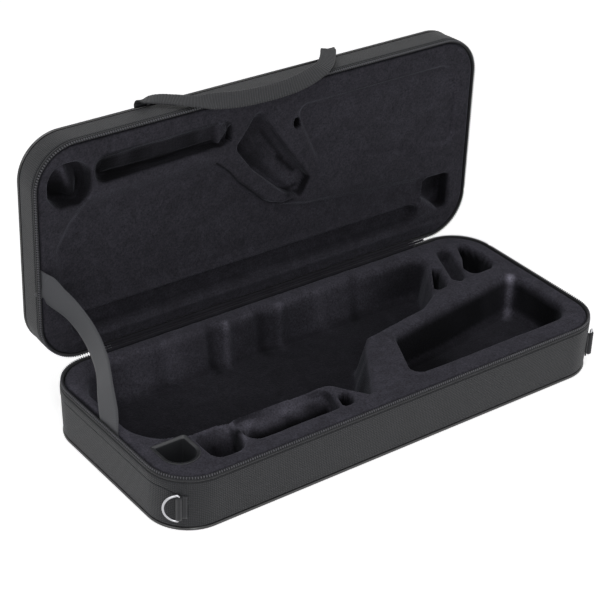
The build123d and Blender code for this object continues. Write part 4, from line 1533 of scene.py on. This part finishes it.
def bandPiece(name, stations, band, material):
    # a woven band: its rounded flat section follows the stations, thicker at each rib
    middle, side = smoothStations(stations, band["step"])
    travel = unitVector(np.gradient(middle, axis=0))
    side = unitVector(side - travel * np.sum(side * travel, -1, keepdims=True))
    face = np.cross(travel, side)
    far = np.concatenate([[0], np.cumsum(np.linalg.norm(np.diff(middle, axis=0), axis=1))])
    half, thick = band["width"] / 2, band["thickness"] / 2
    flat, edge, edgeThick = half - thick * 0.8, half - thick * 0.25, thick * 0.6
    across = np.linspace(-1, 1, band["columns"])
    section = [(a * flat, thick) for a in across] + [(edge, edgeThick), (half, 0), (edge, -edgeThick)]
    section += [(a * flat, -thick) for a in across[::-1]] + [
        (-edge, -edgeThick), (-half, 0), (-edge, edgeThick),
    ]
    rows, uvs = [], []
    for k in range(len(middle)):
        rib = band.get("rib", 0) * sin(2 * pi * far[k] / band.get("ribPitch", 1))
        row = []
        for a, b in section:
            b2 = b * (1 + rib / thick) if abs(b) > thick * 0.9 else b
            row.append(middle[k] + side[k] * a + face[k] * b2)
        rows.append(row)
        uvs.append([(far[k], a) for a, b in section] + [(far[k], section[0][0])])
    return gridPiece(name, onBase(rows), material, uv=np.array(uvs) * mm, caps=True)


stay = {
    "width": 36,
    "thickness": 1.6,
    "step": 3.0,
    "columns": 9,
    "inset": 4,  # from the case's outer face to the wall that it is sewn on
    "sewnHeight": 18,
}
stayX = -case["halfLength"] + stay["inset"] + lidLean(stay["sewnHeight"]) + stay["thickness"] / 2
stayStations = [
    ((stayX, -2, 57), (0, 1, 0)),
    ((stayX, -2, 66), (0, 1, 0)),
    ((stayX + 0.3, -1, 73), (0, 1, -0.02)),
    ((stayX + 2.5, 4, 84), (-0.1, 0.93, -0.35)),
    ((stayX + 12, 27, 101), (-0.2, 0.65, -0.73)),
    ((stayX + 26, 58, 118), (-0.15, 0.5, -0.85)),
    ((stayX + 33, 93, 134), (-0.1, 0.5, -0.86)),
    ((stayX + 28, 120, 153), (-0.1, 0.55, -0.83)),
    ((stayX + 12, 136, 174), (-0.1, 0.35, -0.93)),
    ((stayX + 0.4, 146, 189), (0, 0, -1)),
    ((stayX, 154, 189), (0, 0, -1)),
    ((stayX, 161, 189), (0, 0, -1)),
]
stayBand = bandPiece("stayBand", stayStations, stay, stayWebbing)
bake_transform(stayBand)
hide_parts("stay_strap")

handle = {
    "width": 20,
    "thickness": 2.2,
    "step": 0.75,
    "columns": 7,
    "rib": 0.25,
    "ribPitch": 3.6,
    "top": 362,  # where the open lid's front wall, its outer face and its rim lie
    "outer": 188,
    "rim": 144,
    "left": -158,
    "right": 117,
    "foot": (189.6, 356.5),  # where each end goes under its anchor
}
top, outer, mouth = handle["top"], handle["outer"], handle["rim"]
left, right = handle["left"], handle["right"]
handleStations = [
    ((left, *handle["foot"]), (1, 0, 0)),
    ((left, outer + 2.6, top + 0.2), (1, 0, 0)),
    ((left + 1.5, outer + 1, top + 4.2), (0.98, 0.15, 0)),
    ((left + 6.5, outer - 4.5, top + 5.6), (0.8, 0.58, 0.05)),
    ((left + 17.5, outer - 11.5, top + 6.3), (0.57, 0.79, 0.18)),
    ((left + 28, mouth + 22, top + 7), (0.53, 0.82, 0.2)),
    ((left + 38.5, mouth + 9.5, top + 8), (0.55, 0.8, 0.23)),
    ((left + 55, mouth - 1.5, top + 7), (0.5, 0.75, 0.4)),
    ((left + 77, mouth - 4.5, top + 4), (0.3, 0.45, 0.83)),
    ((left + 106.5, mouth - 5, top - 0.5), (0.15, 0.35, 0.92)),
    ((left + 137, mouth - 5, top - 2.5), (0, 0.3, 0.95)),
    ((right - 108, mouth - 5, top - 2.5), (-0.05, 0.3, 0.95)),
    ((right - 83, mouth - 5, top), (-0.15, 0.45, 0.88)),
    ((right - 62, mouth - 3.5, top + 4), (-0.2, 0.7, 0.68)),
    ((right - 42, mouth + 1.5, top + 8), (-0.25, 0.88, 0.4)),
    ((right - 22.5, mouth + 17.5, top + 8.5), (-0.42, 0.88, 0.18)),
    ((right - 3.5, outer - 4, top + 8), (-0.72, 0.68, 0.1)),
    ((right - 0.5, outer + 1.5, top + 6.5), (-0.98, 0.15, 0)),
    ((right, outer + 2.6, top + 1), (-1, 0, 0)),
    ((right, *handle["foot"]), (-1, 0, 0)),
]
handleBand = bandPiece("handleBand", handleStations, handle, handleWebbing)
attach(handleBand, "handle")
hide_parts("carry_handle")
print("straps made")

# handle anchors, rings and cup

anchor = {
    "width": 22,
    "length": 34,
    "thickness": 1.6,
    "inset": 6,
    "step": 0.75,
    "columns": 7,
    "rib": 0.2,
    "ribPitch": 3.6,
    "seamSide": 3,  # how far the sewn box stays inside the webbing's side, lower and upper ends
    "seamLow": 4,
    "seamHigh": 8,
    "stitchLength": 2.3,
    "stitchWidth": 0.6,
    "stitchPitch": 3.1,
    "stitchProud": 0.15,
}


def makeAnchor(side, x):
    y = case["halfWidth"] + case["lidHeight"] + anchor["thickness"] / 2
    high = handle["top"] - anchor["inset"]
    low = high - anchor["length"]
    stations = [((x, y, z), (1, 0, 0)) for z in (high, high - anchor["length"] / 2, low)]
    made = bandPiece("handleAnchor" + side, stations, anchor, handleWebbing)
    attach(made, "lid")
    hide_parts("handle_anchor_" + side.lower())
    # a sewn box with a cross holds the webbing down
    verts, faces = stitchShape(anchor["stitchLength"], anchor["stitchWidth"])
    half = anchor["width"] / 2 - anchor["seamSide"]
    low, high = low + anchor["seamLow"], high - anchor["seamHigh"]
    a, b, c, d = (-half, low), (half, low), (half, high), (-half, high)
    spots = []
    for (x0, z0), (x1, z1) in ((a, b), (b, c), (c, d), (d, a), (a, c), (d, b)):
        length = hypot(x1 - x0, z1 - z0)
        count = int(length / anchor["stitchPitch"])
        along = np.array([(x1 - x0) / length, 0, (z1 - z0) / length])
        across = np.cross([0, 1, 0], along)
        face = y + anchor["thickness"] / 2 + anchor["stitchProud"]
        for k in range(count):
            t = (k + 0.5) / count
            origin = np.array([x + x0 + (x1 - x0) * t, face, z0 + (z1 - z0) * t])
            spots.append((origin, np.array([across, [0, 1, 0], along])))
    sewn = copies("anchorStitches" + side, verts, faces, spots, thread, onBase)
    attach(sewn, "lid")


makeAnchor("Left", left)
makeAnchor("Right", right)

ring = {
    "wire": 1.6,
    "radius": 17.5,
    "height": 34,
    "angle": 46,
    "lean": 8,
    "tabWidth": 30.2,
    "tabThickness": 1.8,
    "tabReach": 9,
    "tabGap": 0.15,
    "barGap": 0.25,
    "around": 16,
    "bend": 2.4,  # radius of the bends from the bar to the bow
    "standOff": 1,
}


def ringPlace(side):
    reach = case["cornerRadius"] + ring["wire"] + ring["standOff"]
    angle = radians(ring["angle"])
    x = side * (case["halfLength"] - case["cornerRadius"] + reach * cos(angle))
    y = -case["halfWidth"] + case["cornerRadius"] - reach * sin(angle)
    return np.array([x, y, ring["height"]])


def makeRing(name, side):
    # a straight bar, two bends and a half-round bow
    turn = radians(90 - side * (ring["angle"] + ring["lean"]))
    out = np.array([cos(turn), sin(turn), 0])
    up = np.array([0, 0, 1])
    r, bend = ring["radius"], ring["bend"]
    line = [(0, -r + bend + (2 * r - 2 * bend) * k / 24) for k in range(25)]
    for k in range(1, 9):
        t = k / 9 * pi / 2
        line.append((bend * (1 - cos(t)), r - bend + bend * sin(t)))
    for k in range(49):
        t = pi / 2 - pi * k / 48
        if r * cos(t) > bend:
            line.append((r * cos(t), r * sin(t)))
    for k in range(8, 0, -1):
        t = k / 9 * pi / 2
        line.append((bend * (1 - cos(t)), -r + bend - bend * sin(t)))
    line = np.array(line)
    centre = ringPlace(side) + line[:, :1] * out + line[:, 1:] * up
    travel = unitVector(np.roll(centre, -1, 0) - np.roll(centre, 1, 0))
    flat = np.cross(out, up)
    inner = np.cross(travel, flat)
    turns = [2 * pi * m / ring["around"] for m in range(ring["around"])]
    rows = []
    for k in range(len(centre)):
        rows.append([centre[k] + ring["wire"] * (cos(t) * inner[k] + sin(t) * flat) for t in turns])
    return gridPiece(name, onBase(rows), nickelWire, loopAlong=True)


def makeRingTab(name, side):
    # webbing sewn flat on the corner and folded round the ring's bar
    centreX = side * (case["halfLength"] - case["cornerRadius"])
    centre = np.array([centreX, case["cornerRadius"] - case["halfWidth"]])
    thick = ring["tabThickness"]
    bar = ringPlace(side)
    radius = ring["wire"] + ring["barGap"] + thick / 2
    reach = case["cornerRadius"] + thick / 2 + ring["tabGap"]
    lean = baseLean(ring["height"])
    line = []
    for k in range(15):
        angle = radians(ring["angle"] + ring["tabReach"] - (ring["tabReach"] - 2) * k / 14)
        line.append(centre + np.array([side * cos(angle), -sin(angle)]) * (reach - lean))
    a = radians(ring["angle"])
    radial = np.array([side * cos(a), -sin(a)])
    tangent = np.array([-side * sin(a), -cos(a)])
    for k in range(13):
        t = -pi * 0.1 + pi * 1.25 * k / 12
        line.append(bar[:2] + radius * (tangent * cos(t) + radial * sin(t)))
    line = np.array(line)
    travel = unitVector(np.gradient(line, axis=0))
    normal = np.stack([travel[:, 1], -travel[:, 0]], -1)
    far = np.concatenate([[0], np.cumsum(np.linalg.norm(np.diff(line, axis=0), axis=1))])
    heights = np.linspace(ring["height"] - ring["tabWidth"] / 2, ring["height"] + ring["tabWidth"] / 2, 11)
    rows, uvs = [], []
    for k in range(len(line)):
        row = [(*(line[k] + normal[k] * thick / 2), h) for h in heights]
        row += [(*(line[k] - normal[k] * thick / 2), h) for h in heights[::-1]]
        rows.append(row)
        uvs.append([(far[k], h) for h in [*heights, *heights[::-1], heights[0]]])
    return gridPiece(name, onBase(rows), handleWebbing, uv=np.array(uvs) * mm, caps=True)


for side, word in ((-1, "left"), (1, "right")):
    made = makeRing("dRing" + word.title(), side)
    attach(made, "d_ring_" + word)
    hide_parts("d_ring_" + word)
    tab = makeRingTab("ringTab" + word.title(), side)
    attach(tab, "base")
    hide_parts("d_ring_tab_" + word)

cup = {
    "centre": (-284.5, -62.5),
    "width": 38,
    "length": 41,
    "wall": 1.6,
    "flange": 4.6,
    "depth": 44,
    "face": 72,
    "rise": 0.8,
}


def dOutline(width, length, backY, corner, count=28):
    # flat at the back and round at the front, as a closed line
    half = width / 2
    straight = length - half
    points = []
    for k in range(count + 1):
        t = pi + pi * k / count
        points.append((half * cos(t), backY - straight + half * sin(t)))
    for k in range(1, 5):
        points.append((half, backY - straight + (straight - corner) * k / 4))
    for k in range(1, 6):
        t = pi / 2 * k / 6
        points.append((half - corner + corner * cos(t), backY - corner + corner * sin(t)))
    for k in range(7):
        points.append((half - corner - (width - 2 * corner) * k / 6, backY))
    for k in range(1, 6):
        t = pi / 2 + pi / 2 * k / 6
        points.append((-half + corner + corner * cos(t), backY - corner + corner * sin(t)))
    for k in range(4):
        points.append((-half, backY - corner - (straight - corner) * k / 4))
    return np.array(points)


def makeCup():
    c = cup
    face, flange, rise, floor = c["face"], c["flange"], c["rise"], c["face"] - c["depth"]
    # gap outside the opening and height, from the flange's outer foot over its bead and down the inside
    section = [
        (flange, face + 0.15), (flange + 0.1, face + 0.8), (flange - 0.4, face + rise),
        (flange - 1.4, face + rise + 0.35), (3.2, face + rise + 0.3), (1.6, face + rise + 0.1),
        (0.6, face + rise - 0.5), (0.1, face + rise - 1.6), (0, face - 4), (-0.4, face - 20),
        (-0.9, floor + 8), (-1.6, floor + 4), (-3.4, floor + 2.2), (-6, floor + 1.6),
    ]
    outside = [
        (-5, floor), (-1.5, floor + 1), (0.6, floor + 4),
        (c["wall"], face - 18), (c["wall"], face - 0.4), (flange - 0.6, face),
    ]
    middle = np.array(c["centre"]) - [0, c["wall"]]
    rows = []
    for gap, height in section + outside:
        shape = dOutline(c["width"] + 2 * gap, c["length"] + 2 * gap, gap, max(1.2, 2.0 + gap * 0.4))
        rows.append(np.column_stack([shape + middle, np.full(len(shape), height)]))
    rows = np.array(rows)
    count, n = rows.shape[:2]
    inner = len(section) - 1
    verts = rows.reshape(-1, 3)
    faces = []
    for k in range(count):
        if k == inner:
            continue
        nxt = (k + 1) % count
        for m in range(n):
            faces.append((k * n + m, k * n + (m + 1) % n, nxt * n + (m + 1) % n, nxt * n + m))
    faces.append([inner * n + m for m in range(n)])
    faces.append([(inner + 1) * n + m for m in range(n)][::-1])
    made = finishMesh("accessoryCup", onBase(verts), faces, mouldedPlastic)
    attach(made, "base")
    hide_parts("accessory_cup")


makeCup()
print("rings, tabs and cup made")

# finishes of the solids that stay

finishes = {
    "base_board": foamBoard,
    "lid_board": foamBoard,
    "base_bottom_panel": panelCloth,
    "lid_outer_panel": panelCloth,
    "zip_slider_left": enamel,
    "zip_slider_right": enamel,
    "zip_pull_left": enamel,
    "zip_pull_right": enamel,
}
for name, material in finishes.items():
    slots = nodes[name].data.materials
    slots.clear()
    slots.append(material)
print("finishes set")
